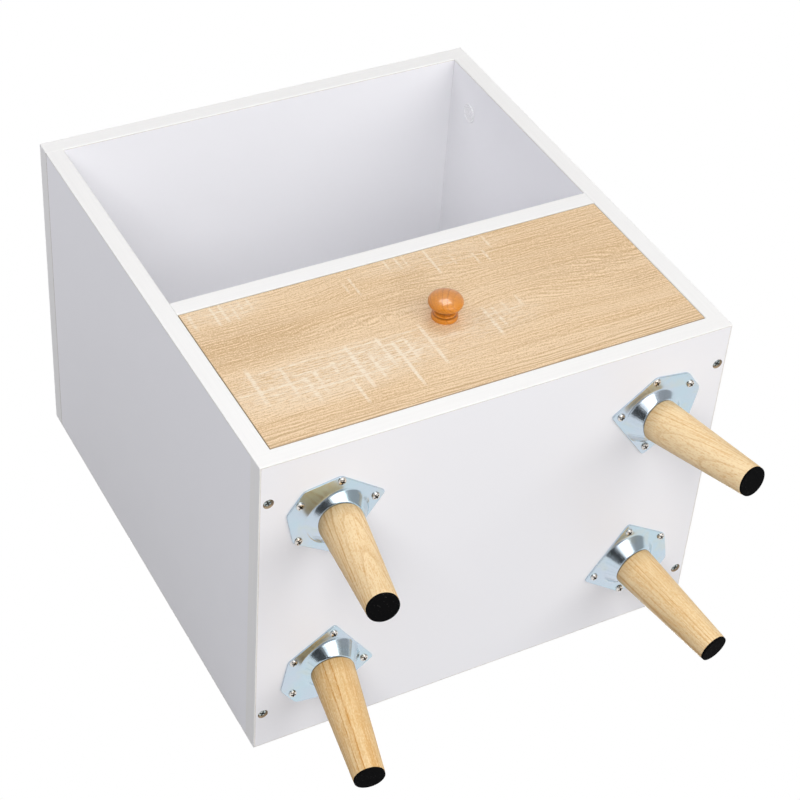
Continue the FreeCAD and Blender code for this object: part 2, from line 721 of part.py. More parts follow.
for side, sign in sides.items():
    inward = "+x" if sign < 0 else "-x"
    outward = "-x" if sign < 0 else "+x"
    label = "cabinet_rail_" + side
    # a channel that is open towards the drawer
    web_x, web = spanning(sign, "0", "rail_sheet")
    flange_x, flange = spanning(sign, "rail_sheet", "rail_flange")
    channel = joined(label + "_blank", [
        block(label + "_web", (web, rail_length, rail_height), (web_x, rail_start, rail_low)),
        block(label + "_track", (flange, rail_length, "rail_sheet"), (flange_x, rail_start, rail_low)),
        block(label + "_lip", (flange, f"{rail_length} - {roller_notch}", "rail_sheet"),
              (flange_x, f"{rail_start} + {roller_notch}", f"{rail_low} + {rail_height} - rail_sheet")),
    ])
    for row in rail_rows(rail_start, rail_length):
        spot = (across(sign, "rail_sheet"), row, f"{rail_low} + {rail_height} / 2")
        fasten("cabinet_rail_screws", rail_screws, placed(spot, turns[inward]), [label, side + "_side_panel"])
    hub = (across(sign, "0"), front_axle_y, front_axle_height)
    cuts[label].append(rod(label + "_axle_hole", "axle_diameter + 2 * fit_play", "rail_sheet", hub, inward))
    less(label, channel, cuts[label])
    spindle = axle("cabinet_axle_" + side, "roller_near - roller_end_play",
                   f"{roller_far} + roller_end_play")
    bind(spindle, Placement=placed(hub, turns[inward]))
    wheel = roller("cabinet_roller_" + side)
    wheel_spot = (across(sign, "roller_near"), front_axle_y, front_axle_height)
    bind(wheel, Placement=placed(wheel_spot, turns[inward]))
    nodes += [spindle, wheel]

    label = "drawer_rail_" + side
    # upright web on the drawer's side, flange over the cabinet roller, foot under the side's lower edge
    web_face = f"({runner_gap} - rail_sheet)"
    web_x, web = spanning(sign, web_face, runner_gap)
    flange_x, flange = spanning(sign, "drawer_rail_clear", web_face)
    foot_x, foot = spanning(sign, runner_gap, f"{runner_gap} + drawer_rail_foot")
    foot_low = f"({drawer_low} - rail_sheet)"
    angle = joined(label + "_blank", [
        block(label + "_web", (web, drawer_length, f"{drawer_flange_low} + rail_sheet - {foot_low}"),
              (web_x, drawer_start, foot_low)),
        block(label + "_flange", (flange, drawer_length, "rail_sheet"),
              (flange_x, drawer_start, drawer_flange_low)),
        block(label + "_foot", (foot, drawer_length, "rail_sheet"), (foot_x, drawer_start, foot_low)),
    ])
    for row in rail_rows(drawer_start, drawer_length):
        spot = (across(sign, web_face), row, f"{drawer_low} + drawer_rail_screw_rise")
        fasten("drawer_rail_screws", rail_screws, placed(spot, turns[outward]),
               [label, "drawer_side_" + side])
    hub = (across(sign, runner_gap), rear_axle_y, rear_axle_height)
    cuts[label].append(rod(label + "_axle_hole", "axle_diameter + 2 * fit_play", "rail_sheet", hub, outward))
    less(label, angle, cuts[label])
    spindle = axle("drawer_axle_" + side, f"{runner_gap} - {roller_far} - roller_end_play",
                   f"{runner_gap} - roller_near + roller_end_play")
    bind(spindle, Placement=placed(hub, turns[outward]))
    wheel = roller("drawer_roller_" + side)
    wheel_spot = (across(sign, "roller_near"), rear_axle_y, rear_axle_height)
    bind(wheel, Placement=placed(wheel_spot, turns[inward]))
    nodes += [spindle, wheel]

# Carcass boards
board_piece("top_panel", ("width", "depth", "board"), ("-width / 2", front, top_low))
board_piece("bottom_panel", ("width", "depth", "board"), ("-width / 2", front, underside))
for side, sign in sides.items():
    start, thick = spanning(sign, "-board", "0")
    board_piece(side + "_side_panel", (thick, "depth", "carcass_height - 2 * board"),
                (start, front, case_floor))
board_piece("shelf_panel", (f"2 * {inner}", f"{back_face} - groove_play - {front}", "board"),
            (f"-{inner}", front, shelf_low))
sheet_in = "(groove_depth - groove_play)"
back_panel = block("back_panel", (f"2 * ({inner} + {sheet_in})", "back_thickness",
                                  f"{top_low} - {case_floor} + 2 * {sheet_in}"),
                   (f"-({inner} + {sheet_in})", back_face, f"{case_floor} - {sheet_in}"))
nodes.append(back_panel)

# Drawer box
drawer_cams = cam_set("drawer_cam_lock", "drawer_cam", "drawer_board", "drawer_bolt_head")
drawer_bolts = bolt_set("drawer_cam_bolt", "drawer_bolt_thread", "drawer_bolt_shaft", "drawer_bolt_head",
                        "front_thickness", "drawer_cam_setback")
drawer_screws = flat_screw_set("drawer_back_screw", "drawer_screw_head", "drawer_screw",
                               "drawer_screw_length")
cam_level = f"({drawer_middle} + drawer_joint_pitch / 2)"
dowel_level = f"({drawer_middle} - drawer_joint_pitch / 2)"
dowel_in_front = "(front_thickness - dowel_skin - hole_relief)"
for side, sign in sides.items():
    label = "drawer_side_" + side
    outward = turns["-x" if sign < 0 else "+x"]
    edge = f"{sign} * ({drawer_outer} - drawer_board / 2)"
    cam_place = placed((f"{sign} * {drawer_inner}", f"{drawer_start} + drawer_cam_setback", cam_level),
                       ("-90", "0", f"{sign} * 90"))
    fasten("drawer_cam_locks", drawer_cams, cam_place, [label])
    bolt_spot = (edge, drawer_start, cam_level)
    dowel_spot = (edge, f"{drawer_start} - {dowel_in_front}", dowel_level)
    fasten("drawer_cam_bolts", drawer_bolts, placed(bolt_spot, turns["+y"]), [label, "drawer_front"])
    fasten("drawer_dowels", dowels, placed(dowel_spot, turns["+y"]), [label, "drawer_front"])
    for level in (cam_level, dowel_level):
        spot = (f"{sign} * {drawer_outer}", f"{drawer_end} - drawer_board / 2", level)
        fasten("drawer_back_screws", drawer_screws, placed(spot, outward), [label, "drawer_back"])

# Grooves for the drawer's bottom sheet, on all four sides
inside_length = f"({drawer_length} - drawer_board)"


def drawer_layer(label, overreach, low, tall):
    # a flat block that reaches past the drawer's inner faces
    return block(label, (f"2 * ({drawer_inner} + {overreach})", f"{inside_length} + 2 * {overreach}", tall),
                 (f"-({drawer_inner} + {overreach})", f"{drawer_start} - {overreach}", low))


for label in ("drawer_side_left", "drawer_side_right", "drawer_front", "drawer_back"):
    cuts[label].append(drawer_layer(label + "_groove", "drawer_groove", f"{sheet_low} - groove_play",
                                    "drawer_sheet + 2 * groove_play"))
nodes.append(drawer_layer("drawer_bottom", "(drawer_groove - groove_play)", sheet_low, "drawer_sheet"))

# Knob and its screw, on the drawer's front
knob_bore = "knob_screw / 2 + fit_play"
rim_x = "(knob_head / 2 - knob_rim)"
crown_x = f"({rim_x} + knob_rim * cos(knob_crown_angle))"
crown_round = f"(({crown_x} ^ 2 + knob_crown ^ 2) / (2 * knob_crown))"
ring_low = "knob_base_height + 2 * knob_groove"
knob = turned("knob", [
    (knob_bore, "0"),
    ("knob_base / 2", "0"),
    ("knob_base / 2", "knob_base_height"),
    ("knob_ring / 2 - knob_groove", "knob_base_height + knob_groove"),
    ("knob_ring / 2", ring_low),
    ("knob_ring / 2", f"{ring_low} + knob_ring_height"),
    ("knob_neck / 2", knob_neck_start),
    ("knob_neck / 2", f"{knob_neck_start} + knob_neck_height", "knob_throat_round", -1),
    (f"{rim_x} + knob_rim * cos(knob_under_angle)", knob_under, "knob_rim", 1),
    (crown_x, knob_crown_start, crown_round, 1),
    ("0", knob_length),
    ("0", "knob_screw_reach + hole_relief"),
    (knob_bore, "knob_screw_reach + hole_relief"),
])
bind(knob, Placement=placed(("0", front, knob_height), turns["-y"]))
knob_screw = pan_screw("knob_screw_piece", "knob_screw_head", "knob_screw_rise", "knob_screw",
                       "front_thickness + knob_screw_reach")
knob_screw.Label = "knob_screw"
bind(knob_screw, Placement=placed(("0", drawer_start, knob_height), turns["+y"]))
cuts["drawer_front"].append(rod("knob_screw_hole", "knob_screw + 2 * fit_play", "front_thickness",
                                ("0", front, knob_height), "+y"))
nodes += [knob, knob_screw]

front_half = f"({inner} - drawer_gap)"
board_piece("drawer_front", (f"2 * {front_half}", "front_thickness", "drawer_opening - 2 * drawer_gap"),
            (f"-{front_half}", front, f"{case_floor} + drawer_gap"))
for side, sign in sides.items():
    start, thick = spanning(sign, runner_gap, f"{runner_gap} + drawer_board")
    board_piece("drawer_side_" + side, (thick, drawer_length, drawer_height),
                (start, drawer_start, drawer_low))
board_piece("drawer_back", (f"2 * {drawer_inner}", "drawer_board", drawer_height),
            (f"-{drawer_inner}", drawer_back_face, drawer_low))

for label in list(groups):
    gathered(label)
doc.recompute()

# Nothing is written unless every object came out whole
for thing in doc.Objects:
    if "Invalid" in thing.State or "Error" in thing.State:
        raise ValueError(f"{thing.Label} failed: {thing.State}")
for node in nodes:
    if node.Shape.isNull() or not node.Shape.isValid() or not node.Shape.Solids:
        raise ValueError(f"{node.Label} has no valid shape")

os.makedirs("parts", exist_ok=True)
for node in nodes:
    node.Shape.exportStep(f"parts/{node.Label}.step")
whole = FreeCAD.BoundBox()
for node in nodes:
    whole.add(node.Shape.BoundBox)
print(len(nodes), "nodes,", sum(len(node.Shape.Solids) for node in nodes), "solids")
print("box", whole)
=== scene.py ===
import json
import math

import bmesh
import bpy
from mathutils import Matrix, Vector

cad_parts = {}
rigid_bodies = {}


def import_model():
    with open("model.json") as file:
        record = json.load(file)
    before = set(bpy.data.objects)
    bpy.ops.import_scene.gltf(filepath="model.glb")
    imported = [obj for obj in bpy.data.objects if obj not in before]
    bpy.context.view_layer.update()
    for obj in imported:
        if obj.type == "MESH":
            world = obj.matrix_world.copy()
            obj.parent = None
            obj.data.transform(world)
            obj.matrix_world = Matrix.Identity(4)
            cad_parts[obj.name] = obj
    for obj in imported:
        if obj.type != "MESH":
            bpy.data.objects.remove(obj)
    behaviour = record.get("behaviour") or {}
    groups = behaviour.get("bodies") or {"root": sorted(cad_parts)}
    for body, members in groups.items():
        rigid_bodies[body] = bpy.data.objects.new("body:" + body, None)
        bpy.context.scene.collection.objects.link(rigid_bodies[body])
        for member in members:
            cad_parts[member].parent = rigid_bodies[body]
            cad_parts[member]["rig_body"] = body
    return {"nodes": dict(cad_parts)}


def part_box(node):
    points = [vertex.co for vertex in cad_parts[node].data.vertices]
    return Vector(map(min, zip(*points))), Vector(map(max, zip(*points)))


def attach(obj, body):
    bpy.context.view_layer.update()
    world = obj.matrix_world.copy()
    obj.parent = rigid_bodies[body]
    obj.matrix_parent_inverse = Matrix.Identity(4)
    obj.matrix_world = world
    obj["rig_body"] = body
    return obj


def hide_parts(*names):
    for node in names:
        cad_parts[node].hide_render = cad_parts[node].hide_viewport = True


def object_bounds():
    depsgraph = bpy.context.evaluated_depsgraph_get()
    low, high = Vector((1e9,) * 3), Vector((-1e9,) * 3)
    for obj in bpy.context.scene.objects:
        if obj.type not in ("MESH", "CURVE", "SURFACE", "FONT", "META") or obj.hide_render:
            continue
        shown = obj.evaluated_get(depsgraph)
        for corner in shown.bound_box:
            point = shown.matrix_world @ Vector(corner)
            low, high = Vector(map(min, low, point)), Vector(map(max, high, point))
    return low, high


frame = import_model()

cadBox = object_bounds()
nodes = frame["nodes"]
mm = 0.001
print("frame loaded:", len(nodes), "nodes")


class Val:
    # one socket; each operator adds the Math node it needs
    def __init__(self, tree, socket):
        self.tree = tree
        self.socket = socket

    def math(self, operation, *others):
        return self.tree.node("ShaderNodeMath", {"operation": operation}, dict(enumerate((self, *others))))

    def other(self, name):
        return Val(self.tree, self.socket.node.outputs[name])

    def smooth(self, low, high):
        return self.tree.node("ShaderNodeMapRange", {"interpolation_type": "SMOOTHSTEP"}, {
            "Value": self, "From Min": low, "From Max": high})

    def __add__(self, value):
        return self.math("ADD", value)

    def __sub__(self, value):
        return self.math("SUBTRACT", value)

    def __rsub__(self, value):
        return self.math("MULTIPLY_ADD", -1, value)

    def __mul__(self, value):
        return self.math("MULTIPLY", value)

    def __truediv__(self, value):
        return self.math("DIVIDE", value)

    def __rtruediv__(self, value):
        return self.math("POWER", -1) * value

    def __pow__(self, value):
        return self.math("POWER", value)

    __radd__ = __add__
    __rmul__ = __mul__


class Tree:
    def __init__(self, nodeTree, material=None):
        self.nodeTree = nodeTree
        self.material = material
        nodeTree.nodes.clear()

    def node(self, kind, settings=None, sockets=None, out=0):
        made = self.nodeTree.nodes.new(kind)
        for key, value in (settings or {}).items():
            setattr(made, key, value)
        for key, value in (sockets or {}).items():
            for single in value if isinstance(value, list) else [value]:
                if isinstance(single, Val):
                    self.nodeTree.links.new(single.socket, made.inputs[key])
                else:
                    made.inputs[key].default_value = single
        return Val(self, made.outputs[out]) if len(made.outputs) else None

    def split(self, vector):
        x = self.node("ShaderNodeSeparateXYZ", {}, {0: vector})
        return x, x.other("Y"), x.other("Z")

    def join(self, spot):
        return self.node("ShaderNodeCombineXYZ", {}, dict(enumerate(spot)))

    def spot(self):
        return self.split(self.node("ShaderNodeTexCoord", out="Object"))

    def mark(self, name, out="Fac"):
        # what the mesh stores on its points
        return self.node("ShaderNodeAttribute", {"attribute_name": name}, out=out)

    def noise(self, spot, detail=2, roughness=0.5):
        return self.node("ShaderNodeTexNoise", {}, {
            "Vector": self.join(spot), "Scale": 1, "Detail": detail, "Roughness": roughness})

    def mix(self, share, first, second):
        first, second = [(*tone, 1) if isinstance(tone, tuple) else tone for tone in (first, second)]
        return self.node("ShaderNodeMix", {"data_type": "RGBA"}, {0: share, 6: first, 7: second}, out=2)

    def bump(self, height, depth, strength):
        return self.node("ShaderNodeBump", {}, {"Height": height, "Distance": depth, "Strength": strength})

    def surface(self, sockets):
        shader = self.node("ShaderNodeBsdfPrincipled", {}, sockets)
        self.node("ShaderNodeOutputMaterial", {}, {"Surface": shader})
        return self.material


def newLook(name):
    material = bpy.data.materials.new(name)
    material.use_nodes = True
    return Tree(material.node_tree, material)


def shade(colour, factor):
    return tuple(channel * factor for channel in colour)


def spread(spot, scale):
    # one scale for all three directions, or one for each
    scales = scale if isinstance(scale, tuple) else (scale,) * 3
    return [value * single for value, single in zip(spot, scales)]


# White boards; scales are to the metre
boardLook = {
    "face": (0.885, 0.883, 0.905), "band": (0.865, 0.86, 0.84), "sheet": (0.87, 0.87, 0.88),
    "glue": (0.64, 0.55, 0.44), "core": (0.34, 0.25, 0.16), "roughness": 0.36,
    "cloud": 7, "smear": 55, "facePores": 1100, "sheetPores": 700, "chips": (500, 500, 700), "dust": 1800,
    "lines": 1500, "linesAlong": 22, "lineCloud": 0.02,
}


def melamine(name, colour, poreScale):
    look = boardLook
    tree = newLook(name)
    spot = tree.spot()
    cloud = tree.noise(spread(spot, look["cloud"]), 3)
    pores = tree.noise(spread(spot, poreScale), 2)
    smear = tree.noise(spread(spot, look["smear"]), 4, 0.6)
    tone = tree.mix(cloud, shade(colour, 0.985), shade(colour, 1.012))
    tone = tree.mix(pores.smooth(0.6, 0.8) * 0.06, tone, shade(colour, 0.8))
    return tree.surface({
        "Base Color": tone, "Roughness": smear * 0.14 + look["roughness"] - 0.04,
        "Normal": tree.bump(pores * 0.7 + smear * 0.3, 0.05 * mm, 0.3),
    })


def edgeBand(name, colour, along):
    # fine drawn lines run along the strip
    tree = newLook(name)
    scales = tuple(boardLook["linesAlong" if axis == along else "lines"] for axis in "xyz")
    place = spread(tree.spot(), scales)
    lines = tree.noise(place, 3, 0.6)
    cloud = tree.noise(spread(place, boardLook["lineCloud"]), 2)
    tone = tree.mix(lines.smooth(0.3, 0.7), shade(colour, 0.98), shade(colour, 1.01))
    tone = tree.mix(cloud * 0.3, tone, shade(colour, 0.98))
    return tree.surface({
        "Base Color": tone, "Roughness": lines * 0.15 + 0.38, "Normal": tree.bump(lines, 0.06 * mm, 0.35)})


def chipCore(name, colour):
    tree = newLook(name)
    spot = tree.spot()
    chips = tree.node("ShaderNodeTexVoronoi", {}, {
        "Vector": tree.join(spread(spot, boardLook["chips"])), "Scale": 1}, out="Color")
    fine = tree.noise(spread(spot, boardLook["dust"]), 3)
    tone = tree.mix(tree.split(chips)[0], shade(colour, 0.7), shade(colour, 1.25))
    tone = tree.mix(fine.smooth(0.45, 0.75) * 0.5, tone, shade(colour, 0.5))
    return tree.surface({
        "Base Color": tone, "Roughness": fine * 0.2 + 0.7, "Normal": tree.bump(fine, 0.3 * mm, 0.6)})


whiteFace = melamine("whiteMelamine", boardLook["face"], boardLook["facePores"])
whiteSheet = melamine("whiteHardboard", boardLook["sheet"], boardLook["sheetPores"])
bandAlong = {axis: edgeBand("edgeBand_" + axis, boardLook["band"], axis) for axis in "xyz"}
glueLine = chipCore("glueLine", boardLook["glue"])
boardCore = chipCore("chipboardCore", boardLook["core"])

# Oak foil on the drawer front; all places in mm, x from the middle and z from the floor
oakLook = {
    "tan": (0.69, 0.483, 0.27), "pale": (0.8, 0.61, 0.395), "brown": (0.47, 0.275, 0.11),
    "knotAndShade": (0.5, 0.32, 0.15), "saw": (0.86, 0.755, 0.6), "edge": (0.38, 0.27, 0.155),
    # noise scales to the mm, along and across the grain
    "bands": (0.004, 0.07), "streaks": (0.01, 0.2), "pores": (0.9, 1.2), "fray": (0.12, 0.9), "ragged": 0.3,
    "longLines": (0.014, 0.7), "dashes": (0.1, 0.8), "faintLines": (0.04, 0.6), "beside": 0.91, "through": 20,
    # sway of the grain: scale along and across, slice through the noise, lift
    "sways": [(0.006, 0.03, 3, 7), (0.045, 0.06, 5, 1)],
    "lowLines": (148, 130),    # heights between which the bolder lines at the lower edge come in
    # grain lifted round a spot: x, z, half width, half height, lift
    "figures": [(-8, 276, 85, 34, 7), (-46, 240, 86, 20, 5), (186, 196, 130, 42, -11), (95, 222, 90, 30, 4)],
    # painted shade, darker spots: x, z, half width, half height, strength
    "shadows": [(-2, 259, 22, 17, 0.42), (168, 190, 34, 10, 0.36), (-155, 238, 80, 34, 0.55),
                (-95, 249, 80, 8, 0.18), (125, 236, 80, 46, 0.22)],
    # pale haze: x, z, half width, half height, strength
    "haze": [(-115, 182, 100, 34, 0.5), (-60, 186, 62, 26, 0.3), (-152, 279, 44, 16, 0.4),
             (25, 278, 80, 16, 0.3), (36, 190, 52, 22, 0.34), (-20, 176, 60, 30, 0.2)],
    # how far the saw cuts wander, how fast their ends fade and how far they overrun
    "crossWear": 1.8, "crossFade": 5, "longWear": 1.6, "longFade": 10, "overrun": 3,
    # saw cuts across the grain: x, low z, high z, half width, strength
    "crossCuts": [
        (-165.5, 168, 211, 1.7, 0.7), (-141, 168, 204, 1.4, 0.6), (-128.5, 157, 186, 1.7, 0.5),
        (-119.8, 163, 190, 1.5, 0.6), (-103.5, 181, 197, 1.7, 0.5), (-97.3, 142, 171, 1.3, 0.8),
        (-86, 156, 206, 1.5, 0.85), (-73.5, 161, 190, 1.3, 0.7), (-60.3, 170, 206, 1.2, 0.7),
        (-51, 143, 197, 1.3, 0.9), (-41, 171, 198, 1.2, 0.6), (-23.5, 158, 207, 1.4, 0.8),
        (-178.5, 266, 286, 1.4, 0.5), (-159.8, 265, 290, 1, 0.7), (-152.3, 266, 290, 1.2, 0.8),
        (-144, 265, 287, 1, 0.6), (-137.3, 274, 287, 0.9, 0.5), (-129.8, 274, 290, 1.1, 0.6),
        (-53.5, 261, 276, 0.9, 0.4), (-46.5, 257, 280, 1, 0.6), (-11.5, 274, 292, 0.9, 0.5),
        (-1.8, 274, 292, 1, 0.6), (4.5, 275, 292, 0.9, 0.5), (24, 257, 290, 1.1, 0.8),
        (40.8, 261, 274, 0.9, 0.4), (58.5, 256, 271, 1, 0.6), (67.8, 256, 271, 1.1, 0.7),
        (76.5, 271, 287, 1.1, 0.6), (31.5, 171, 206, 1.4, 0.6), (39, 178, 206, 1.2, 0.5),
        (49, 191, 207, 1.2, 0.4), (62.8, 196, 211, 1.2, 0.35),
    ],
    # saw cuts along the grain: z, low x, high x, half width, strength
    "longCuts": [
        (202.4, -171, -21, 0.9, 0.5), (189.9, -139, -100, 1.1, 0.6), (183.7, -186, -126, 1.2, 0.65),
        (181.2, -71, -20, 1, 0.55), (171.2, -141, -62, 1.1, 0.65), (186, -24, 8, 1.7, 0.35),
        (195.5, -98, -38, 0.9, 0.45), (176.5, -170, -110, 0.9, 0.45), (206.5, -120, -60, 0.8, 0.3),
        (281, -170, -120, 0.9, 0.4), (273, -160, -125, 0.8, 0.35), (266, 20, 80, 0.9, 0.35),
        (196, 20, 66, 0.9, 0.35),
    ],
}


def oakFoil(name, marked):
    look = oakLook
    tree = newLook(name)
    metreX, y, metreZ = tree.spot()
    x = metreX * (1 / mm)
    z = metreZ * (1 / mm)

    def oval(across, up, wide, tall):
        inside = 1 - ((x - across) / wide) ** 2 - ((z - up) / tall) ** 2
        return inside.math("MAXIMUM", 0).smooth(0, 1)

    grain = z
    for along, across, layer, lift in look["sways"]:
        grain = grain + (tree.noise((x * along, layer, z * across), 2) - 0.5) * lift
    for across, up, wide, tall, lift in look["figures"]:
        grain = grain - oval(across, up, wide, tall) * lift

    def grainNoise(scales, detail, shift=None):
        row = grain * scales[1]
        return tree.noise((x * scales[0], y * look["through"], row + shift if shift else row), detail)

    def drawnLines(scales):
        # each line set off from those beside it, so that they stay thin
        lines = grainNoise(scales, 0)
        for side in (-look["beside"], look["beside"]):
            lines = lines - grainNoise(scales, 0, side) * 0.5
        return lines

    bands = grainNoise(look["bands"], 2)
    lines = drawnLines(look["longLines"])
    pores = grainNoise(look["pores"], 1) - 0.5
    fine = pores * 1.1 + drawnLines(look["dashes"]) * 0.5 + drawnLines(look["faintLines"]) * 0.2 + lines * 0.25
    streaks = grainNoise(look["streaks"], 2)
    tone = tree.mix(bands.smooth(0.3, 0.7) * 0.7, look["tan"], look["pale"])
    tone = tree.mix(streaks.smooth(0.48, 0.75) * 0.28, tone, look["brown"])
    # painted shade: these ovals darken the foil towards a dark brown
    for across, up, wide, tall, strength in look["shadows"]:
        tone = tree.mix(oval(across, up, wide, tall) * strength * 0.8, tone, look["knotAndShade"])
    tone = tree.mix(fine.smooth(0, 0.26) * 0.6, tone, look["brown"])
    tone = tree.mix(fine.smooth(0, -0.26) * 0.75, tone, shade(look["pale"], 1.1))
    low = z.smooth(*look["lowLines"])
    tone = tree.mix(lines.smooth(0.02, 0.2) * low * 0.75, tone, look["knotAndShade"])
    tone = tree.mix(lines.smooth(-0.04, -0.2) * low * 0.5, tone, look["pale"])
    if marked:
        ragged = tree.noise((x * look["ragged"], 0, z * look["ragged"]), 3, 0.7) - 0.5
        wornX = x + ragged * look["crossWear"]
        wornZ = z + ragged * look["longWear"]
        cuts = None
        sets = [(cut, wornX, z, look["crossFade"]) for cut in look["crossCuts"]]
        sets += [(cut, wornZ, x, look["longFade"]) for cut in look["longCuts"]]
        over = look["overrun"]
        for (middle, start, end, half, strength), worn, along, fade in sets:
            line = (worn - middle).math("ABSOLUTE").smooth(half * 1.5, half * 0.4)
            line = line * along.smooth(start - over, start + fade) * along.smooth(end + over, end - fade) * strength
            cuts = cuts.math("MAXIMUM", line) if cuts else line
        fray = tree.noise((x * look["fray"][0], 7, grain * look["fray"][1]), 3, 0.75).smooth(0.4, 0.6)
        cuts = cuts * (fray * 0.9 + 0.3)
        for across, up, wide, tall, strength in look["haze"]:
            cuts = cuts + oval(across, up, wide, tall) * fray * strength
        tone = tree.mix(cuts.math("MINIMUM", 0.85), tone, look["saw"])
    return tree.surface({
        "Base Color": tone, "Roughness": fine * 0.2 + 0.5, "Normal": tree.bump(fine, 0.012 * mm, 0.3)})


oakFace = oakFoil("oakFoil", True)
oakBack = oakFoil("oakFoilBack", False)
# the edge colour is darker than the foil, as painted shade in the gaps round the drawer front
oakEdge = {axis: edgeBand("oakEdge_" + axis, oakLook["edge"], axis) for axis in "xz"}
oakGlue = chipCore("oakGlueLine", shade(oakLook["edge"], 0.6))


# Turned wood: legs and knob
legWood = {
    "tan": (0.745, 0.52, 0.255), "pale": (0.93, 0.735, 0.45), "brown": (0.65, 0.315, 0.067),
    "ring": 2.7, "fibre": 800, "fleck": 0.38, "bold": 0.78, "roughness": 0.5, "gloss": 0.08, "coat": 0.03,
    "coatRoughness": 0.25,
}
knobWood = {
    "tan": (0.62, 0.215, 0.016), "pale": (0.71, 0.28, 0.026), "brown": (0.45, 0.135, 0.01),
    "ring": 2.2, "fibre": 900, "fleck": 0.34, "bold": 0.6, "roughness": 0.34, "gloss": 0.3, "coat": 0.6,
    "coatRoughness": 0.13,
}
# both woods: scales to the metre across and along the stem, then sway in rings and wobble in mm
stemGrain = {
    "sway": (26, 26, 8), "wobble": (120, 120, 60), "fleck": (1200, 1200, 520), "cloud": (60, 60, 12),
    "swayRings": 1.2, "wobbleReach": 0.5, "fibreAlong": 0.06, "yearStep": 0.71,
}


def turnedWood(name, look):
    grain = stemGrain
    tree = newLook(name)
    stem = tree.split(tree.mark("stock", "Vector"))    # the piece's place in the wood it was turned from
    a, b = stem[:2]
    sway = tree.noise(spread(stem, grain["sway"]), 2) - 0.5
    wobble = tree.noise(spread(stem, grain["wobble"]), 1) - 0.5
    radius = (a * a + b * b) ** 0.5 + sway * (look["ring"] * grain["swayRings"] * mm)
    radius = radius + wobble * (grain["wobbleReach"] * mm)
    year = radius * (1 / look["ring"] / mm)
    part = year.math("FRACT")
    vigour = tree.noise((year.math("FLOOR") * grain["yearStep"], 0.5, 0.5), 0).smooth(0.3, 0.7)
    growth = part.smooth(0.2, 0.95) * 0.3 + part.smooth(0.7, 0.9) * part.smooth(1, 0.95) * 0.9
    late = growth * (vigour * 0.7 + 0.3)
    fibre = tree.noise(spread(stem, (look["fibre"], look["fibre"], look["fibre"] * grain["fibreAlong"])), 1)
    fleck = tree.noise(spread(stem, grain["fleck"]), 1)
    cloud = tree.noise(spread(stem, grain["cloud"]), 2)
    # how pale each leg is: partly the wood's own, partly painted light and shade
    paleness = tree.mark("paleness")
    tone = tree.mix(cloud.smooth(0.3, 0.7) * 0.4 + paleness * 0.7, look["tan"], look["pale"])
    tone = tree.mix(late * (look["bold"] - paleness * 0.4), tone, shade(look["brown"], 0.85))
    tone = tree.mix(fibre.smooth(0.5, 0.7) * 0.3, tone, look["brown"])
    tone = tree.mix(fibre.smooth(0.5, 0.3) * 0.35, tone, look["pale"])
    fleckMask = fleck.smooth(0.52, 0.72)
    tone = tree.mix(fleckMask * look["fleck"], tone, look["brown"])
    tone = tree.mix(fleck.smooth(0.48, 0.28) * look["fleck"], tone, look["pale"])
    # painted shade in the grooves: at the leg's top where it meets the plate, and in the knob's neck
    tone = tree.mix(tree.mark("hollow") * 0.8, tone, shade(look["brown"], 0.25))
    return tree.surface({
        "Base Color": tone, "Roughness": fibre * 0.14 + look["roughness"] - 0.05,
        "Specular IOR Level": look["gloss"], "Coat Weight": look["coat"], "Coat Roughness": look["coatRoughness"],
        "Normal": tree.bump(fibre * 0.5 - fleckMask, 0.05 * mm, 0.3),
    })


legFinish = turnedWood("legWood", legWood)
knobFinish = turnedWood("knobWood", knobWood)

# Metal: tone, tint, warm stain, roughness; scales are to the metre
metals = {
    "zincPlate": ((0.53, 0.665, 0.745), (0.57, 0.645, 0.735), (0.6, 0.66, 0.64), 0.18),
    "brightSteel": ((0.76, 0.72, 0.67), (0.68, 0.66, 0.64), (0.78, 0.64, 0.48), 0.13),
    "caseSteel": ((0.5, 0.56, 0.56), (0.38, 0.43, 0.44), (0.5, 0.45, 0.36), 0.14),
    "camMetal": ((0.46, 0.47, 0.48), (0.4, 0.41, 0.43), (0.5, 0.49, 0.47), 0.38),
}
metalGrain = {"cloud": 28, "stain": 60, "stainShift": 9, "rolled": (900, 140, 900), "spots": 1700, "drawn": 14,
              "recessShade": (0.03, 0.025, 0.02)}


def metal(name, plain, tint, warm, rough):
    grain = metalGrain
    tree = newLook(name)
    spot = tree.spot()
    cloud = tree.noise(spread(spot, grain["cloud"]), 3)
    stainX, stainY, stainZ = spread(spot, grain["stain"])
    stain = tree.noise((stainX + grain["stainShift"], stainY, stainZ), 2)
    rolled = tree.noise(spread(spot, grain["rolled"]), 3, 0.6)
    spots = tree.noise(spread(spot, grain["spots"]), 2)
    tone = tree.mix(cloud.smooth(0.35, 0.68), plain, tint)
    tone = tree.mix(stain.smooth(0.52, 0.74) * 0.6, tone, warm)
    tone = tree.mix(spots.smooth(0.66, 0.8) * 0.3, tone, shade(plain, 0.6))
    # painted shade in the screws' cross recesses and under their heads
    tone = tree.mix(tree.mark("hollow") * 0.85, tone, grain["recessShade"])
    turnX, turnY, rise = tree.split(tree.mark("drawn", "Vector"))
    drawn = tree.noise((turnX * grain["drawn"], turnY * grain["drawn"], 0), 3, 0.7) * rise
    tone = tree.mix(drawn.smooth(0.5, 0.78) * 0.3, tone, shade(plain, 0.45))
    return tree.surface({
        "Base Color": tone, "Metallic": 1, "Roughness": rolled * 0.12 + cloud * 0.08 + rough - 0.08,
        "Normal": tree.bump(rolled * 0.6 + cloud + drawn * 6, 0.03 * mm, 0.3),
    })


zincPlate, brightSteel, caseSteel, camMetal = [metal(name, *look) for name, look in metals.items()]

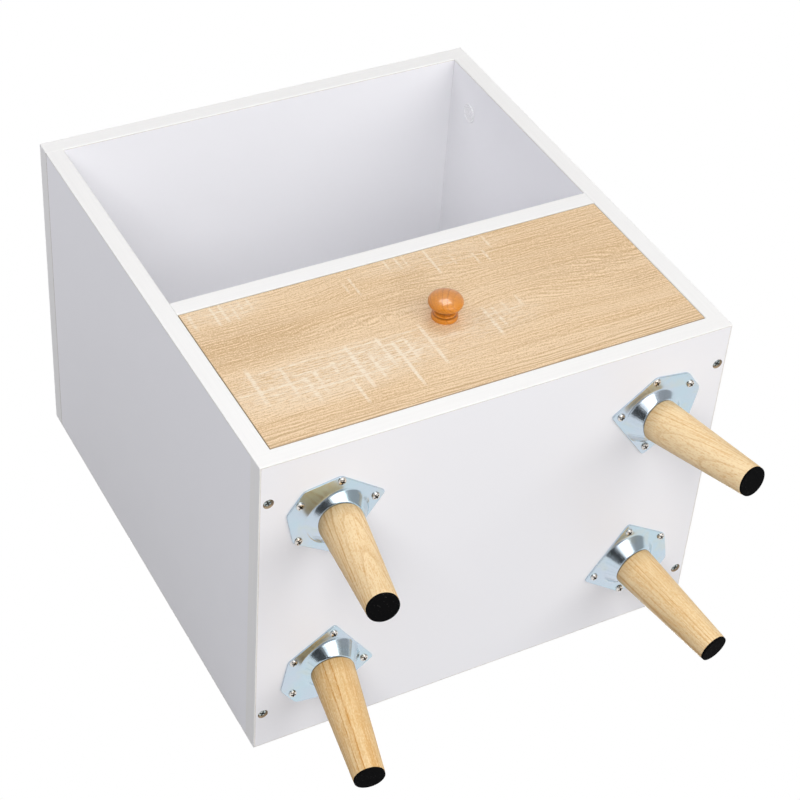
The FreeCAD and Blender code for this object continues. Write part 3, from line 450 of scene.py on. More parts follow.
# Plastic, powder coat, beech and felt
smallLooks = {
    "whitePlastic": {"tone": (0.9, 0.9, 0.91), "rough": 0.34, "grain": 900, "depth": 0.03},
    "railCoat": {"tone": (0.8, 0.8, 0.8), "rough": 0.3, "grain": 1400, "depth": 0.09},
    "beech": {"tone": (0.74, 0.56, 0.36), "rough": 0.6, "grain": 700, "depth": 0.12},
    "blackFelt": {
        "tone": (0.0045, 0.0045, 0.0048), "rough": 0.92, "grain": 1500, "depth": 0.5, "gloss": 0.03, "lint": 0.05},
}


def speckled(name, look):
    # moulded, sprayed or pressed stuff with a fine even grain
    tree = newLook(name)
    place = spread(tree.spot(), look["grain"])
    grain = tree.noise(place, 3, 0.65)
    cloud = tree.noise(spread(place, 0.06), 2)
    tone = tree.mix(grain.smooth(0.3, 0.7), shade(look["tone"], 0.82), shade(look["tone"], 1.1))
    tone = tree.mix(cloud * 0.35, tone, shade(look["tone"], 0.9))
    if "lint" in look:
        lint = tree.noise(spread(place, 0.5), 1).smooth(0.68, 0.74)
        tone = tree.mix(lint * look["lint"], tone, (0.5, 0.48, 0.45))
    return tree.surface({
        "Base Color": tone, "Roughness": grain * 0.1 + look["rough"] - 0.05,
        "Specular IOR Level": look.get("gloss", 0.5), "Normal": tree.bump(grain, look["depth"] * mm, 0.5)})


whitePlastic, railCoat, beech, blackFelt = [speckled(name, look) for name, look in smallLooks.items()]
print("finishes made:", len(bpy.data.materials))


# Meshes
def linked(name, data):
    made = bpy.data.objects.new(name, data)
    bpy.context.scene.collection.objects.link(made)
    return made


def addPiece(mesh, finishes, body, slot, *replaced):
    piece = linked(mesh.name, mesh)
    for finish in finishes:
        mesh.materials.append(finish)
    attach(piece, body)
    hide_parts(*replaced)


def markPoints(mesh, name, values):
    # a number or a vector stored on each point
    plain = isinstance(values[0], (int, float))
    marks = mesh.attributes.new(name, "FLOAT" if plain else "FLOAT_VECTOR", "POINT")
    for mark, value in zip(marks.data, values):
        setattr(mark, "value" if plain else "vector", value)


def turnedBy(degrees, axis):
    return Matrix.Rotation(math.radians(degrees), 4, axis)


def squareMesh(name, half):
    mesh = bpy.data.meshes.new(name)
    mesh.from_pydata([(-half, -half, 0), (half, -half, 0), (half, half, 0), (-half, half, 0)], [], [(0, 1, 2, 3)])
    return mesh


def softened(points, cuts=4):
    # points are (place, rounding); a rounded corner becomes a short curve
    line = []
    for index, (here, rounding) in enumerate(points):
        if not rounding:
            line.append(here)
            continue
        before = points[index - 1][0] - here
        after = points[(index + 1) % len(points)][0] - here
        start = here + before.normalized() * min(rounding, before.length * 0.48)
        end = here + after.normalized() * min(rounding, after.length * 0.48)
        for step in range(cuts + 1):
            t = step / cuts
            line.append(start * (1 - t) ** 2 + here * (2 * t * (1 - t)) + end * t ** 2)
    return line


def ringMesh(name, rings, closed=False, sharp=40):
    # rings of points, or single points at the ends, joined in order
    bm = bmesh.new()
    made = [[bm.verts.new(point) for point in ring] for ring in rings]
    for first, second in zip(made, made[1:] + made[:1] if closed else made[1:]):
        count = max(len(first), len(second))
        for i in range(count):
            corners = [first[i % len(first)], first[(i + 1) % len(first)],
                       second[(i + 1) % len(second)], second[i % len(second)]]
            bm.faces.new(list(dict.fromkeys(corners)))
    bmesh.ops.recalc_face_normals(bm, faces=bm.faces)
    for face in bm.faces:
        face.smooth = True
    mesh = bpy.data.meshes.new(name)
    bm.to_mesh(mesh)
    bm.free()
    mesh.set_sharp_from_angle(angle=math.radians(sharp))
    return mesh


def turnedMesh(name, profile, steps, place, stock=None, grooves=()):
    # profile of (radius, height, rounding) in mm, turned about the Z axis of place; the grooves get painted shade
    line = softened([(Vector((radius, height)), rounding) for radius, height, rounding in profile], 5)
    rings = []
    for radius, height in line:
        turns = steps if radius > 1e-6 else 1
        angles = [2 * math.pi * i / turns for i in range(turns)]
        rings.append([Vector((radius * math.cos(angle), radius * math.sin(angle), height)) * mm for angle in angles])
    mesh = ringMesh(name, rings)
    points = [vertex.co.copy() for vertex in mesh.vertices]
    if stock:
        markPoints(mesh, "stock", [stock @ point for point in points])
    if grooves:
        markPoints(mesh, "hollow", [
            max(max(0, 1 - abs(point.z / mm - height) / reach) for height, reach in grooves) for point in points])
    mesh.transform(place)
    return mesh


# Boards: the CAD boards with eased edges, and edge bands with their glue lines as strips of their own; in mm
boardCuts = {"ease": 0.5, "easeSteps": 3, "band": 1, "glue": 0.22}
# Case screw holes, wider than the sunk heads; near and shallow find their points
caseHole = {"side": 192.5, "inset": 37, "top": 4.3, "seat": 3.1, "depth": 2.1, "sink": 1.5, "near": 5, "shallow": 2}
carcassLow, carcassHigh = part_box("bottom_panel")
caseSpots = [Vector((sign * caseHole["side"] * mm, y)) for sign in (-1, 1) for y in (
    carcassLow.y + caseHole["inset"] * mm, carcassHigh.y - caseHole["inset"] * mm)]
boards = {
    "top_panel": {"piece": "topBoard", "banded": "-x +x -y +y", "worn": "-x-z +x-z"},
    "bottom_panel": {"piece": "bottomBoard", "banded": "-x +x -y +y", "tight": "+z", "sunk": True},
    "left_side_panel": {"piece": "leftSideBoard", "banded": "-y +y", "bare": "+z", "tight": "-z"},
    "right_side_panel": {"piece": "rightSideBoard", "banded": "-y +y", "bare": "+z", "tight": "-z"},
    "shelf_panel": {"piece": "shelfBoard", "banded": "-y", "bare": "-x +x +y"},
    "drawer_side_left": {"piece": "drawerLeftBoard", "banded": "-z +z", "bare": "-y +y"},
    "drawer_side_right": {"piece": "drawerRightBoard", "banded": "-z +z", "bare": "-y +y"},
    "drawer_back": {"piece": "drawerBackBoard", "banded": "-z +z", "bare": "-x +x"},
    "drawer_front": {"piece": "drawerFrontBoard", "banded": "-x +x -z +z", "oak": True,
                     "grow": (1.2, 0, 0.7), "nudge": (0, 0, -0.1)},
}


def openHoles(bm, face):
    for vertex in bm.verts:
        for spot in caseSpots:
            arm = vertex.co.xy - spot
            level = (vertex.co.z - face) / mm
            if arm.length < caseHole["near"] * mm and level < caseHole["shallow"]:
                seated = level > 0.01
                reach = caseHole["seat" if seated else "top"] * mm
                vertex.co = (*(spot + arm.normalized() * reach), face + (caseHole["depth"] * mm if seated else 0))


def sideOf(edge):
    return "xyz".index(edge[1]), "-+".index(edge[0])    # axis and end that a name such as "+x" stands for


def dressBoard(node, spec):
    low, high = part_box(node)
    oak = spec.get("oak")
    banded, bare, tight, worn = [spec.get(key, "").split() for key in ("banded", "bare", "tight", "worn")]
    ease, bandEnd = boardCuts["ease"], boardCuts["band"]
    glueEnd = bandEnd + boardCuts["glue"]
    bm = bmesh.new()
    bm.from_mesh(nodes[node].data)
    bmesh.ops.remove_doubles(bm, verts=bm.verts[:], dist=1e-6)
    bmesh.ops.dissolve_limit(bm, angle_limit=math.radians(0.5), verts=bm.verts[:], edges=bm.edges[:])
    if spec.get("sunk"):
        openHoles(bm, low.z)

    def touching(vertex):
        return {(axis, end) for axis in range(3) for end, side in enumerate((low, high))
                if abs(vertex.co[axis] - side[axis]) < 2e-6}

    def depth(place, edge):
        axis, end = sideOf(edge)
        return (high[axis] - place[axis] if end else place[axis] - low[axis]) / mm

    plainEnds = {sideOf(edge) for edge in tight + bare}    # their edges stay sharp
    rim = []
    for edge in bm.edges:
        sides = touching(edge.verts[0]) & touching(edge.verts[1])
        if len(sides) > 1 and not sides & plainEnds:
            rim.append(edge)
    bmesh.ops.bevel(bm, geom=rim, offset=ease * mm, segments=boardCuts["easeSteps"],
                    profile=0.5, affect="EDGES", clamp_overlap=True)
    for edge in banded:
        axis, end = sideOf(edge)
        normal = Vector([float(axis == i) for i in range(3)])
        for inset in (bandEnd, glueEnd):
            place = high - normal * inset * mm if end else low + normal * inset * mm
            shapes = bm.verts[:] + bm.edges[:] + bm.faces[:]
            bmesh.ops.bisect_plane(bm, geom=shapes, dist=1e-7, plane_co=place, plane_no=normal)

    strips, glue = (oakEdge, oakGlue) if oak else (bandAlong, glueLine)
    longest = {}    # each band's lines run along its longer side
    for edge in banded:
        sizes = {axis: high["xyz".index(axis)] - low["xyz".index(axis)] for axis in strips if axis != edge[1]}
        longest[edge] = strips[max(sizes, key=sizes.get)]
    finishes = [oakFace, oakBack] if oak else [whiteFace]
    finishes += list(dict.fromkeys(longest.values())) + [glue, boardCore]
    for face in bm.faces:
        middle = face.calc_center_median()
        face.smooth = max(abs(part) for part in face.normal) < 0.9995
        finish = oakBack if oak and face.normal.y > 0.5 else finishes[0]
        if all(depth(middle, end + axis) > ease * 1.02 for end in "-+" for axis in "xyz"):
            finish = boardCore    # holes and grooves
        if any(depth(middle, edge) < ease for edge in bare):
            finish = boardCore
        for edge in reversed(banded):
            if depth(middle, edge) < (ease if oak else bandEnd):
                finish = longest[edge]
            elif bandEnd < depth(middle, edge) < glueEnd and finish == whiteFace:
                finish = glue
        # these bevels at the top board's lower ends take the core colour: a dark seam line along the joints with the
        # sides
        for edge in worn:
            if max(depth(middle, edge[:2]), depth(middle, edge[2:])) < ease:
                finish = boardCore
        face.material_index = finishes.index(finish)
    mesh = bpy.data.meshes.new(spec["piece"])
    bm.to_mesh(mesh)
    bm.free()
    if "grow" in spec:
        centre = (low + high) / 2
        wider = Matrix.Diagonal([1 + 2 * extra * mm / size for extra, size in zip(spec["grow"], high - low)] + [1])
        moved = Matrix.Translation(centre + Vector(spec["nudge"]) * mm)
        mesh.transform(moved @ wider @ Matrix.Translation(-centre))
    addPiece(mesh, finishes, nodes[node]["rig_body"], "oak_face" if oak else "white_board", node)
    return len(mesh.polygons)


print("boards dressed:", sum(dressBoard(node, spec) for node, spec in boards.items()), "faces")

# Legs, their plates and pads; in mm and degrees
leg = {"seat": 10, "length": 98, "top": 17.6, "foot": 12.5, "bore": 4.05, "boreEnd": 41, "tilt": 12, "splay": 35,
       "insetSide": 63.5, "insetFront": 69.5, "insetBack": 73, "boreRound": 0.3, "topRound": 0.7, "footRound": 0.5,
       # stain is the reach in mm of the painted shade at the leg's top, where it meets the plate
       "rows": 8, "steps": 96, "stain": 1, "offPith": 4}
pad = {"radius": 12.3, "thick": 2, "rows": 14, "steps": 72, "lowRound": 0.2, "endRound": 0.5}
plate = {
    "sheet": 1.5, "outline": [(43, 11.5), (21, 32.5), (-25.5, 31), (-25.5, -31), (21, -32.5), (43, -11.5)],
    "corner": 3.2, "domeBase": 25, "domeTop": 18, "hole": 4.4, "steps": 240, "sharp": 50,
    "screws": [(38.5, 0), (18.5, 29), (18.5, -29), (-19.5, 24.5), (-19.5, -24.5)],
    # flat rings round the dome, inside the sheet's edge and on the seat, and the least step between two rings
    "footRing": 3.4, "edgeRing": 0.5, "seatRing": 4, "leastStep": 0.1,
    "roundings": [0.25, 0.4, 0, 3.2, 1.6, 0, 0.2, 0.2, 1.4, 1.5],    # of the section's points, in their order
    "drawnRise": 2,    # height over which the drawn lines of the dome come in
}
# across and along signs, then how the leg's wood sits in its plank: pith and start in metres, turn and slant in
# degrees, and how pale it is: partly the wood's own, partly painted light and shade on each leg
corners = {
    "front_left": (-1, -1, 0.031, 0.01, 65, 7.2, 0.55), "front_right": (1, -1, 0.033, 0.065, -136, 10, 0.95),
    "back_left": (-1, 1, 0.033, 0.13, 154, 3, -0.2), "back_right": (1, 1, 0.029, 0.205, 126, 2, 0.5),
}
plateFrames = {}
for corner, (across, along, *_) in corners.items():
    splay = math.radians(leg["splay"])
    outward = Vector((across * math.cos(splay), along * math.sin(splay), 0))
    down = Vector((0, 0, -1))
    spot = Vector((
        across * (carcassHigh.x - leg["insetSide"] * mm),
        carcassLow.y + leg["insetFront"] * mm if along < 0 else carcassHigh.y - leg["insetBack"] * mm,
        carcassLow.z,
    ))
    axes = Matrix((outward, down.cross(outward), down)).transposed()
    plateFrames[corner] = Matrix.Translation(spot) @ axes.to_4x4()


def reachAt(outline, direction):
    best = 0
    for start, end in zip(outline, outline[1:] + outline[:1]):
        edge = end - start
        turn = direction.x * edge.y - direction.y * edge.x
        if abs(turn) < 1e-12:
            continue
        along = (start.x * direction.y - start.y * direction.x) / turn
        if -1e-9 <= along <= 1 + 1e-9:
            best = max(best, (start.x * edge.y - start.y * edge.x) / turn)
    return best


def plateMesh(name, place):
    # each ray from the middle has the same section: sheet edge, flange, dome, seat, bolt hole and back inside
    outline = softened([(Vector(point), plate["corner"]) for point in plate["outline"]], 6)
    tilt = math.radians(leg["tilt"])
    axis = Vector((math.sin(tilt), 0, math.cos(tilt)))
    side = Vector((math.cos(tilt), 0, -math.sin(tilt)))
    sheet, base, top, hole = [plate[key] for key in ("sheet", "domeBase", "domeTop", "hole")]
    over = Vector((0, 0, sheet))
    seat = axis * leg["seat"]
    inside = axis * (leg["seat"] - sheet)
    rays = []
    for i in range(plate["steps"]):
        angle = 2 * math.pi * i / plate["steps"]
        flat = Vector((math.cos(angle), math.sin(angle)))
        out = Vector((flat.x, flat.y, 0))
        tilted = side * flat.x + Vector((0, 1, 0)) * flat.y
        reach = reachAt(outline, flat)
        edge = out * reach
        flange = min(base + plate["footRing"], reach - plate["edgeRing"])
        section = [
            edge, edge + over, out * flange + over, out * min(base, flange - plate["leastStep"]) + over,
            seat + tilted * top, seat + tilted * (top - plate["seatRing"]), seat + tilted * hole,
            inside + tilted * hole, inside + tilted * (top - sheet), out * (base - sheet),
        ]
        rays.append([point * mm for point in softened(list(zip(section, plate["roundings"])), 6)])
    mesh = ringMesh(name, [list(ring) for ring in zip(*rays)], closed=True, sharp=plate["sharp"])
    drawn = []
    for vertex in mesh.vertices:
        spot = vertex.co / mm
        far = max(spot.xy.length, 1)
        rise = max(0, min(1, (spot.z - sheet) / plate["drawnRise"]))
        drawn.append((spot.x / far, spot.y / far, rise))
    markPoints(mesh, "drawn", drawn)
    mesh.transform(place)
    return mesh


for corner, (across, along, pith, start, turn, slant, paleness) in corners.items():
    place = plateFrames[corner]
    tilted = place @ turnedBy(leg["tilt"], "Y")
    addPiece(plateMesh("legPlate_" + corner, place), [zincPlate], "carcass", "zinc_plate", "leg_plate_" + corner)
    seat, end = leg["seat"], leg["seat"] + leg["length"]
    profile = [(0, leg["boreEnd"], 0), (leg["bore"], leg["boreEnd"], 0), (leg["bore"], seat, leg["boreRound"]),
               (leg["top"], seat, leg["topRound"])]
    for row in range(1, leg["rows"]):
        share = row / leg["rows"]
        profile.append((leg["top"] + (leg["foot"] - leg["top"]) * share, seat + leg["length"] * share, 0))
    profile += [(leg["foot"], end, leg["footRound"]), (leg["foot"] * 0.5, end, 0), (0, end, 0)]
    stock = Matrix.Translation((pith, leg["offPith"] * mm, start)) @ turnedBy(slant, "Y") @ turnedBy(turn, "Z")
    legMesh = turnedMesh("taperedLeg_" + corner, profile, leg["steps"], tilted, stock, [(seat, leg["stain"])])
    markPoints(legMesh, "paleness", [paleness] * len(legMesh.vertices))
    addPiece(legMesh, [legFinish], "carcass", "leg_wood", "leg_" + corner)
    radii = [pad["radius"] * row / pad["rows"] for row in range(pad["rows"])]
    padProfile = [(radius, end, 0) for radius in radii]
    padProfile += [(pad["radius"], end, pad["lowRound"]), (pad["radius"], end + pad["thick"], pad["endRound"])]
    padProfile += [(radius, end + pad["thick"], 0) for radius in reversed(radii)]
    padMesh = turnedMesh("feltPad_" + corner, padProfile, pad["steps"], tilted)
    addPiece(padMesh, [blackFelt], "carcass", "black_felt", "foot_pad_" + corner)
print("legs, plates and pads made")

# Cover caps over the upper cam locks; profile of (radius, height, rounding) in mm
cap = {
    "profile": [(0, 0, 0), (8.6, 0, 0.1), (9, 0.35, 0.2), (8.51, 1.25, 0.45), (7.88, 1.25, 0.4), (7.25, 0.8, 0.3),
                (3.6, 0.75, 0), (0, 0.75, 0)],
    "steps": 48, "inset": 37, "sharp": 50,
}
capLow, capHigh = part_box("cam_cover_caps")
capShapes = bmesh.new()
for sign in (-1, 1):
    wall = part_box("left_side_panel")[1].x if sign < 0 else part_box("right_side_panel")[0].x
    for y in (carcassLow.y + cap["inset"] * mm, carcassHigh.y - cap["inset"] * mm):
        place = Matrix.Translation((wall, y, (capLow.z + capHigh.z) / 2)) @ turnedBy(-90 * sign, "Y")
        single = turnedMesh("coverCap", cap["profile"], cap["steps"], place)
        capShapes.from_mesh(single)
        bpy.data.meshes.remove(single)
capMesh = bpy.data.meshes.new("coverCaps")
capShapes.to_mesh(capMesh)
capShapes.free()
capMesh.set_sharp_from_angle(angle=math.radians(cap["sharp"]))
addPiece(capMesh, [whitePlastic], "carcass", "white_plastic", "cam_cover_caps")
print("cover caps made")

# Knob; profile and grooves in mm
knob = {
    "profile": [
        (0, 11.5, 0), (2.05, 11.5, 0), (2.05, 0, 0), (10.4, 0, 0.5), (10.55, 1.7, 1.2), (10.2, 3.3, 0.6),
        (8.3, 4, 0.35), (8.95, 4.7, 0.4), (9.05, 5.3, 0.5), (8.9, 5.9, 0.4), (6.9, 6.6, 0.4), (6.8, 9.2, 1.4),
        (8.8, 10.8, 1.2), (11.75, 11.5, 1), (13.35, 12.7, 1.3), (13.93, 15, 1.7), (13.25, 17.05, 1.3),
        (11.95, 18.4, 1.2), (8.2, 19.85, 2.6), (4, 20.6, 2.6), (0, 20.78, 0),
    ],
    "grooves": [(4.1, 0.8), (7.4, 1.6)], "steps": 128,
    "plank": (0.021, 0.004, 0.3), "turn": 40, "slant": 62,    # how its wood sits in the plank: metres and degrees
}
knobLow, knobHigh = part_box("knob")
knobSpot = Vector((0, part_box("drawer_front")[0].y, (knobLow.z + knobHigh.z) / 2))
knobPlace = Matrix.Translation(knobSpot) @ turnedBy(90, "X")
knobStock = Matrix.Translation(knob["plank"]) @ turnedBy(knob["turn"], "Z") @ turnedBy(knob["slant"], "Y")
knobMesh = turnedMesh("turnedKnob", knob["profile"], knob["steps"], knobPlace, knobStock, knob["grooves"])
addPiece(knobMesh, [knobFinish], "drawer", "knob_wood", "knob")
print("knob made")

# Screws, in Geometry Nodes: one cross-head screw set on every point, along the point's aim
screwForm = {
    "domePower": 3, "domeRoot": 2.6, "shadeFrom": 0.15, "shadeTo": 0.7,    # painted shade, in mm below the dome
    "crease": 0.6, "turns": 3.14,    # radians
}


def screwTree():
    form = screwForm
    group = bpy.data.node_groups.new("crossHeadScrews", "GeometryNodeTree")
    group.interface.new_socket("Geometry", in_out="OUTPUT", socket_type="NodeSocketGeometry")
    given = {"Points": "Geometry"}
    given |= {name: "Float" for name in screwSets["legPlateScrews"]["sizes"]}
    given |= {"Seed": "Int", "Finish": "Material"}
    for name, kind in given.items():
        group.interface.new_socket(name, in_out="INPUT", socket_type="NodeSocket" + kind)
    tree = Tree(group)
    points = tree.node("NodeGroupInput", out="Points")
    size = points.other
    ball = tree.node("GeometryNodeMeshUVSphere", {}, {"Segments": 40, "Rings": 20, "Radius": size("Head Radius")})
    x, y, z = tree.split(tree.node("GeometryNodeInputPosition"))
    share = ((x * x + y * y) ** 0.5 / size("Head Radius")).math("MINIMUM", 1)
    dome = (1 - share ** form["domePower"]) ** (1 / form["domeRoot"]) * size("Head Rise")
    cone = (1 - share) * size("Head Sink") * -1
    upper = z.math("GREATER_THAN", -1e-7)
    level = dome * upper + cone * (1 - upper)
    head = tree.node("GeometryNodeSetPosition", {}, {"Geometry": ball, "Position": tree.join((x, y, level))})
    arms = []
    for crosswise in (False, True):
        sides = [size("Recess Reach") * 2, size("Recess Arm")]
        box = tree.node("GeometryNodeMeshCube", {}, {
            "Size": tree.join((*(reversed(sides) if crosswise else sides), size("Recess Depth") * 2))})
        arms.append(tree.node("GeometryNodeTransform", {}, {
            "Geometry": box, "Translation": tree.join((0, 0, size("Head Rise")))}))
    head = tree.node("GeometryNodeMeshBoolean", {"operation": "DIFFERENCE"}, {"Mesh 1": head, "Mesh 2": arms})
    shank = tree.node("GeometryNodeMeshCylinder", {}, {
        "Vertices": 20, "Radius": size("Shank Radius"), "Depth": size("Shank Length")}, out="Mesh")
    shank = tree.node("GeometryNodeTransform", {}, {
        "Geometry": shank, "Translation": tree.join((0, 0, size("Shank Length") * -0.5))})
    # painted shade below the dome: in the cross recess and under the head
    hollow = (dome - z).smooth(form["shadeFrom"] * mm, form["shadeTo"] * mm)
    head = tree.node("GeometryNodeStoreNamedAttribute", {}, {"Geometry": head, "Name": "hollow", "Value": hollow})
    screw = tree.node("GeometryNodeJoinGeometry", {}, {"Geometry": [head, shank]})
    steep = tree.node("GeometryNodeInputMeshEdgeAngle").math("GREATER_THAN", form["crease"])
    screw = tree.node("GeometryNodeSetShadeSmooth", {"domain": "EDGE"}, {
        "Geometry": screw, "Selection": steep, "Shade Smooth": False})
    aim = tree.node("GeometryNodeInputNamedAttribute", {"data_type": "FLOAT_VECTOR"}, {"Name": "aim"})
    upright = tree.node("FunctionNodeAlignRotationToVector", {"axis": "Z"}, {"Vector": aim})
    spin = tree.node("FunctionNodeRandomValue", {}, {
        2: 0, 3: form["turns"], "Seed": size("Seed")}, out=1)
    spun = tree.node("FunctionNodeAxisAngleToRotation", {}, {"Axis": (0, 0, 1), "Angle": spin})
    turned = tree.node("FunctionNodeRotateRotation", {"rotation_space": "LOCAL"}, {0: upright, 1: spun})
    placed = tree.node("GeometryNodeInstanceOnPoints", {}, {
        "Points": points, "Instance": screw, "Rotation": turned})
    solid = tree.node("GeometryNodeRealizeInstances", {}, {"Geometry": placed})
    coated = tree.node("GeometryNodeSetMaterial", {}, {"Geometry": solid, "Material": size("Finish")})
    tree.node("NodeGroupOutput", {}, {0: coated})
    return group


screwSets = {
    "legPlateScrews": {
        "replaces": "leg_plate_screws",
        "sizes": {"Head Radius": 3.3, "Head Rise": 1.9, "Head Sink": 0.1, "Shank Radius": 1.75, "Shank Length": 12,
                  "Recess Reach": 2.1, "Recess Arm": 1.2, "Recess Depth": 1.3},
        "points": [plateFrames[corner] @ (Vector((u, v, plate["sheet"])) * mm) for corner in corners
                   for u, v in plate["screws"]],
        "seed": 4, "finish": brightSteel,
    },
    "bottomPanelScrews": {
        "replaces": "bottom_panel_screws",
        "sizes": {"Head Radius": 3.3, "Head Rise": 0.9, "Head Sink": 2.2, "Shank Radius": 2, "Shank Length": 43.5,
                  "Recess Reach": 2.5, "Recess Arm": 1.4, "Recess Depth": 0.85},
        "points": [Vector((spot.x, spot.y, carcassLow.z + caseHole["sink"] * mm)) for spot in caseSpots],
        "seed": 11, "finish": caseSteel,
    },
}
screwGroup = screwTree()
for name, spec in screwSets.items():
    mesh = bpy.data.meshes.new(name + "Points")
    mesh.from_pydata(spec["points"], [], [])
    markPoints(mesh, "aim", [(0, 0, -1)] * len(spec["points"]))
    holder = linked(mesh.name, mesh)
    modifier = holder.modifiers.new("screws", "NODES")
    modifier.node_group = screwGroup
    wanted = {key: value * mm for key, value in spec["sizes"].items()}
    wanted |= {"Seed": spec["seed"], "Finish": spec["finish"]}
    for item in screwGroup.interface.items_tree:
        if item.in_out == "INPUT" and item.name in wanted:
            modifier[item.identifier] = wanted[item.name]
    evaluated = holder.evaluated_get(bpy.context.evaluated_depsgraph_get())
    plain = bpy.data.meshes.new_from_object(evaluated)
    bpy.data.objects.remove(holder)
    plain.name = name
    addPiece(plain, [], "carcass", "bright_steel", spec["replaces"])
    print(name, "made:", len(spec["points"]), "screws,", len(plain.polygons), "faces")

# The CAD nodes that stay get these finishes
kept = {"back_panel": whiteSheet, "drawer_bottom": whiteSheet, "carcass_dowels": beech, "drawer_dowels": beech}
steelEnds = ("_screws", "_screw", "_bolts", "_nuts")
kept |= {node: brightSteel for node in nodes if node.endswith(steelEnds) or "_axle_" in node}
kept |= {node: camMetal for node in nodes if node.endswith("_cam_locks")}
kept |= {node: railCoat for node in nodes if "_rail_" in node and not node.endswith("_screws")}
kept |= {node: whitePlastic for node in nodes if "_roller_" in node}
for node, finish in kept.items():
    for slot in nodes[node].material_slots:
        slot.material = finish
print("finishes put on CAD nodes:", len(kept))

# Floor: seen from above only, and it takes shadows without standing in the light's way
floorLook = {"tone": (0.62, 0.62, 0.62), "glow": (0.42, 0.42, 0.42), "half": 4, "dust": 90}
floor = linked("floor", squareMesh("floor", floorLook["half"]))
tree = newLook("floorPaint")
light = tree.node("ShaderNodeLightPath", out="Is Camera Ray")
above = 1 - tree.node("ShaderNodeNewGeometry", out="Backfacing")
x, y, z = tree.spot()
dust = tree.noise((x * floorLook["dust"], y * floorLook["dust"], 0), 3)
paint = tree.node("ShaderNodeBsdfPrincipled", {}, {
    "Base Color": tree.mix(dust, floorLook["tone"], shade(floorLook["tone"], 1.02)), "Roughness": dust * 0.1 + 0.85,
    "Emission Color": tree.mix(dust, floorLook["glow"], shade(floorLook["glow"], 1.02)), "Emission Strength": 1})
clear = tree.node("ShaderNodeBsdfTransparent")
tree.node("ShaderNodeOutputMaterial", {}, {"Surface": tree.node("ShaderNodeMixShader", {}, {
    0: light * above, 1: clear, 2: paint})})
floor.data.materials.append(tree.material)

# Light: pale world and softboxes
lighting = {
    "ambient": (0.222, 0.222, 0.245),
    # faint strip under the top board, for the deep part of the open compartment
    "strip": {"place": (0, 0.13, 0.468), "size": (0.36, 0.03), "power": 0.034, "colour": (1, 1, 1)},
    # direction from the object, distance, size, strength, colour, and what it lights: colour, gloss or both
    "softboxes": {
        "keyLight": ((0.52, -0.6, -0.61), 3.4, 2.7, 0.39, (1, 0.99, 0.965), "colour"),
        "lowLight": ((0.22, -0.22, -0.95), 3.4, 2.6, 0.21, (1, 0.995, 0.985), "colour"),
        "eyeLight": ((-0.36, -0.66, -0.66), 3.8, 1.8, 0.47, (1, 1, 0.99), "colour"),
        "leftLight": ((-0.72, -0.62, 0.3), 2, 1.1, 0.22, (0.95, 0.945, 1), "colour"),
        "sideLight": ((-0.7, -0.15, 0.7), 1.3, 0.8, 0.045, (0.93, 0.925, 1), "colour"),
        "frontLight": ((0.28, -0.93, 0.22), 2.4, 0.9, 0.14, (1, 0.99, 0.975), "colour"),
        "crownLight": ((0.19, -0.92, 0.3), 2.4, 0.95, 0.42, (1, 0.99, 0.97), "gloss"),
        "backLight": ((0.25, 0.8, 0.5), 2.6, 1.4, 0.45, (1, 1, 1), "both"),
        "glintLight": ((0.11, -0.673, -0.731), 1.5, 0.97, 0.23, (1, 1, 1), "gloss"),
    },
    # cards that only the gloss mirrors: direction from under the bottom board, distance, half width, brightness
    "cards": {
        "darkCard": ((-0.624, -0.332, -0.707), 0.9, 0.33, 0.03),
        "greyCard": ((0.8, -0.373, -0.469), 1.5, 0.7, 0.4),
        "lowCard": ((0, 0, -1), 1.2, 0.45, 0.35),
    },
    "cardWeave": 40,
    # dark flag beside the left board's back edge: reach to the left, gap behind and start beside it
    "flag": {"reach": 0.6, "gap": 0.008, "beside": 0.002, "tone": (0.02, 0.02, 0.02), "weave": 60},
}


def areaLamp(name, shape, energy, colour):
    lamp = bpy.data.lights.new(name, "AREA")
    lamp.shape, lamp.energy, lamp.color = shape, energy, colour
    holder = linked(name, lamp)
    holder.visible_camera = False
    return lamp, holder


strip = lighting["strip"]
lamp, holder = areaLamp("stripLight", "RECTANGLE", strip["power"], strip["colour"])
lamp.size, lamp.size_y = strip["size"]
holder.location = strip["place"]
holder.rotation_euler = (math.pi, 0, 0)    # shines up
holder.visible_glossy = False
world = bpy.data.worlds.new("studio")
bpy.context.scene.world = world
world.use_nodes = True
tree = Tree(world.node_tree)
ray = tree.node("ShaderNodeLightPath", out="Is Camera Ray")
seen = ray.math("MAXIMUM", ray.other("Is Glossy Ray")).math("MAXIMUM", ray.other("Is Transmission Ray"))
ambient = tree.node("ShaderNodeBackground", {}, {"Color": (*lighting["ambient"], 1)})
white = tree.node("ShaderNodeBackground", {}, {"Color": (1, 1, 1, 1)})
studio = tree.node("ShaderNodeMixShader", {}, {0: seen, 1: ambient, 2: white})
tree.node("ShaderNodeOutputWorld", {}, {"Surface": studio})
middle = (cadBox[0] + cadBox[1]) / 2
for name, (direction, distance, size, strength, colour, lights) in lighting["softboxes"].items():
    lamp, holder = areaLamp(name, "SQUARE", strength * math.pi ** 2 * distance ** 2, colour)
    lamp.size = size
    aim = Vector(direction).normalized()
    holder.location = middle + aim * distance
    holder.rotation_mode = "QUATERNION"
    holder.rotation_quaternion = aim.to_track_quat("Z", "Y")
    holder.visible_diffuse = lights != "gloss"
    holder.visible_glossy = lights != "colour"

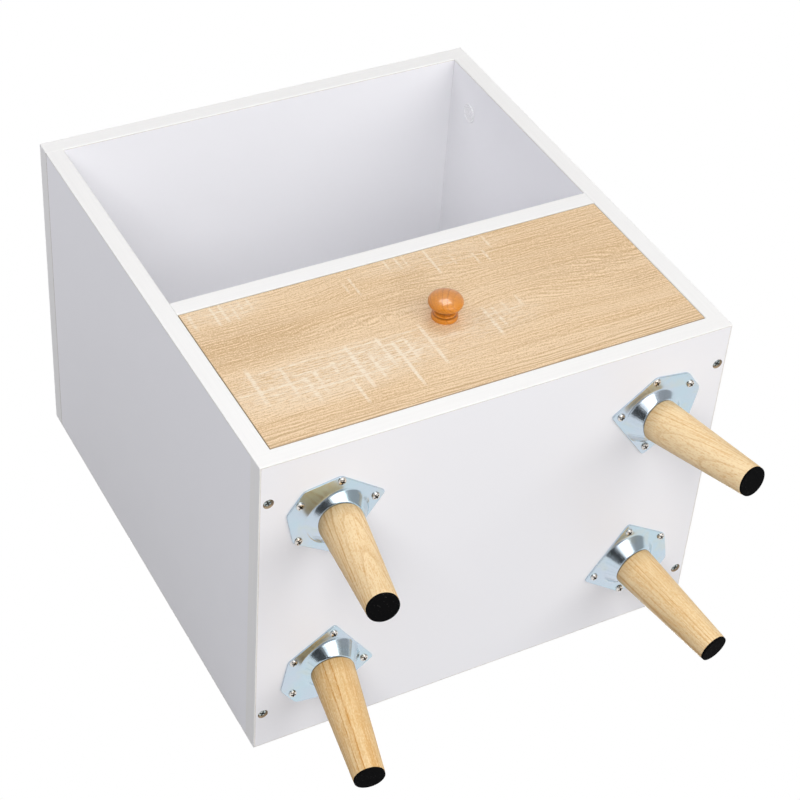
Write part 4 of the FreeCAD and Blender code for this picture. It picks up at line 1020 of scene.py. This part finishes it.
# Cards for the metal to mirror
under = Vector((0, middle.y, carcassLow.z))
for name, (direction, distance, half, bright) in lighting["cards"].items():
    tree = newLook(name)
    weave = tree.noise(spread(tree.spot(), lighting["cardWeave"]), 3)
    tree.surface({"Base Color": (0, 0, 0, 1), "Roughness": 1, "Emission Strength": 1,
                  "Emission Color": tree.mix(weave, (bright * 0.85,) * 3, (bright * 1.15,) * 3)})
    mesh = squareMesh(name, half)
    aim = Vector(direction).normalized()
    mesh.transform(Matrix.Translation(under + aim * distance) @ aim.to_track_quat("Z", "Y").to_matrix().to_4x4())
    mesh.materials.append(tree.material)
    holder = linked(name, mesh)
    holder.visible_camera = False
    holder.visible_diffuse = False
    holder.visible_transmission = False
    holder.visible_shadow = False

# Flag that keeps light from behind off the left board
flag = lighting["flag"]
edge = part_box("left_side_panel")
corner = Vector((edge[0].x - flag["beside"], edge[1].y + flag["gap"], 0))
tree = newLook("sideFlag")
weave = tree.noise(spread(tree.spot(), flag["weave"]), 3)
tree.surface({"Base Color": tree.mix(weave, flag["tone"], shade(flag["tone"], 1.4)),
              "Roughness": weave * 0.1 + 0.9})
mesh = bpy.data.meshes.new("sideFlag")
mesh.from_pydata([corner + Vector((-flag["reach"] * step, 0, height)) for step, height in (
    (0, edge[0].z), (1, edge[0].z), (1, edge[1].z), (0, edge[1].z))], [], [(0, 1, 2, 3)])
mesh.materials.append(tree.material)
holder = linked("sideFlag", mesh)
holder.visible_camera = False
holder.visible_glossy = False
print("light set:", len(bpy.data.lights), "lamps")

# Camera: from below, in front and to the left
view = {"eye": (-0.6685, -1.14111, -0.86215), "forward": (0.3864, 0.6535, 0.6509),
        "down": (-0.2645, 0.7546, -0.6005), "lens": 95.05, "sensor": 36, "clip": (0.05, 50)}
camera = bpy.data.cameras.new("camera")
camera.lens, camera.sensor_width = view["lens"], view["sensor"]
camera.clip_start, camera.clip_end = view["clip"]
cameraHolder = linked("camera", camera)
forward = Vector(view["forward"]).normalized()
right = Vector(view["down"]).cross(forward).normalized()
up = right.cross(forward)
cameraHolder.matrix_world = Matrix.Translation(view["eye"]) @ Matrix((right, up, -forward)).transposed().to_4x4()
bpy.context.scene.camera = cameraHolder
bpy.context.scene.view_settings.view_transform = "Standard"
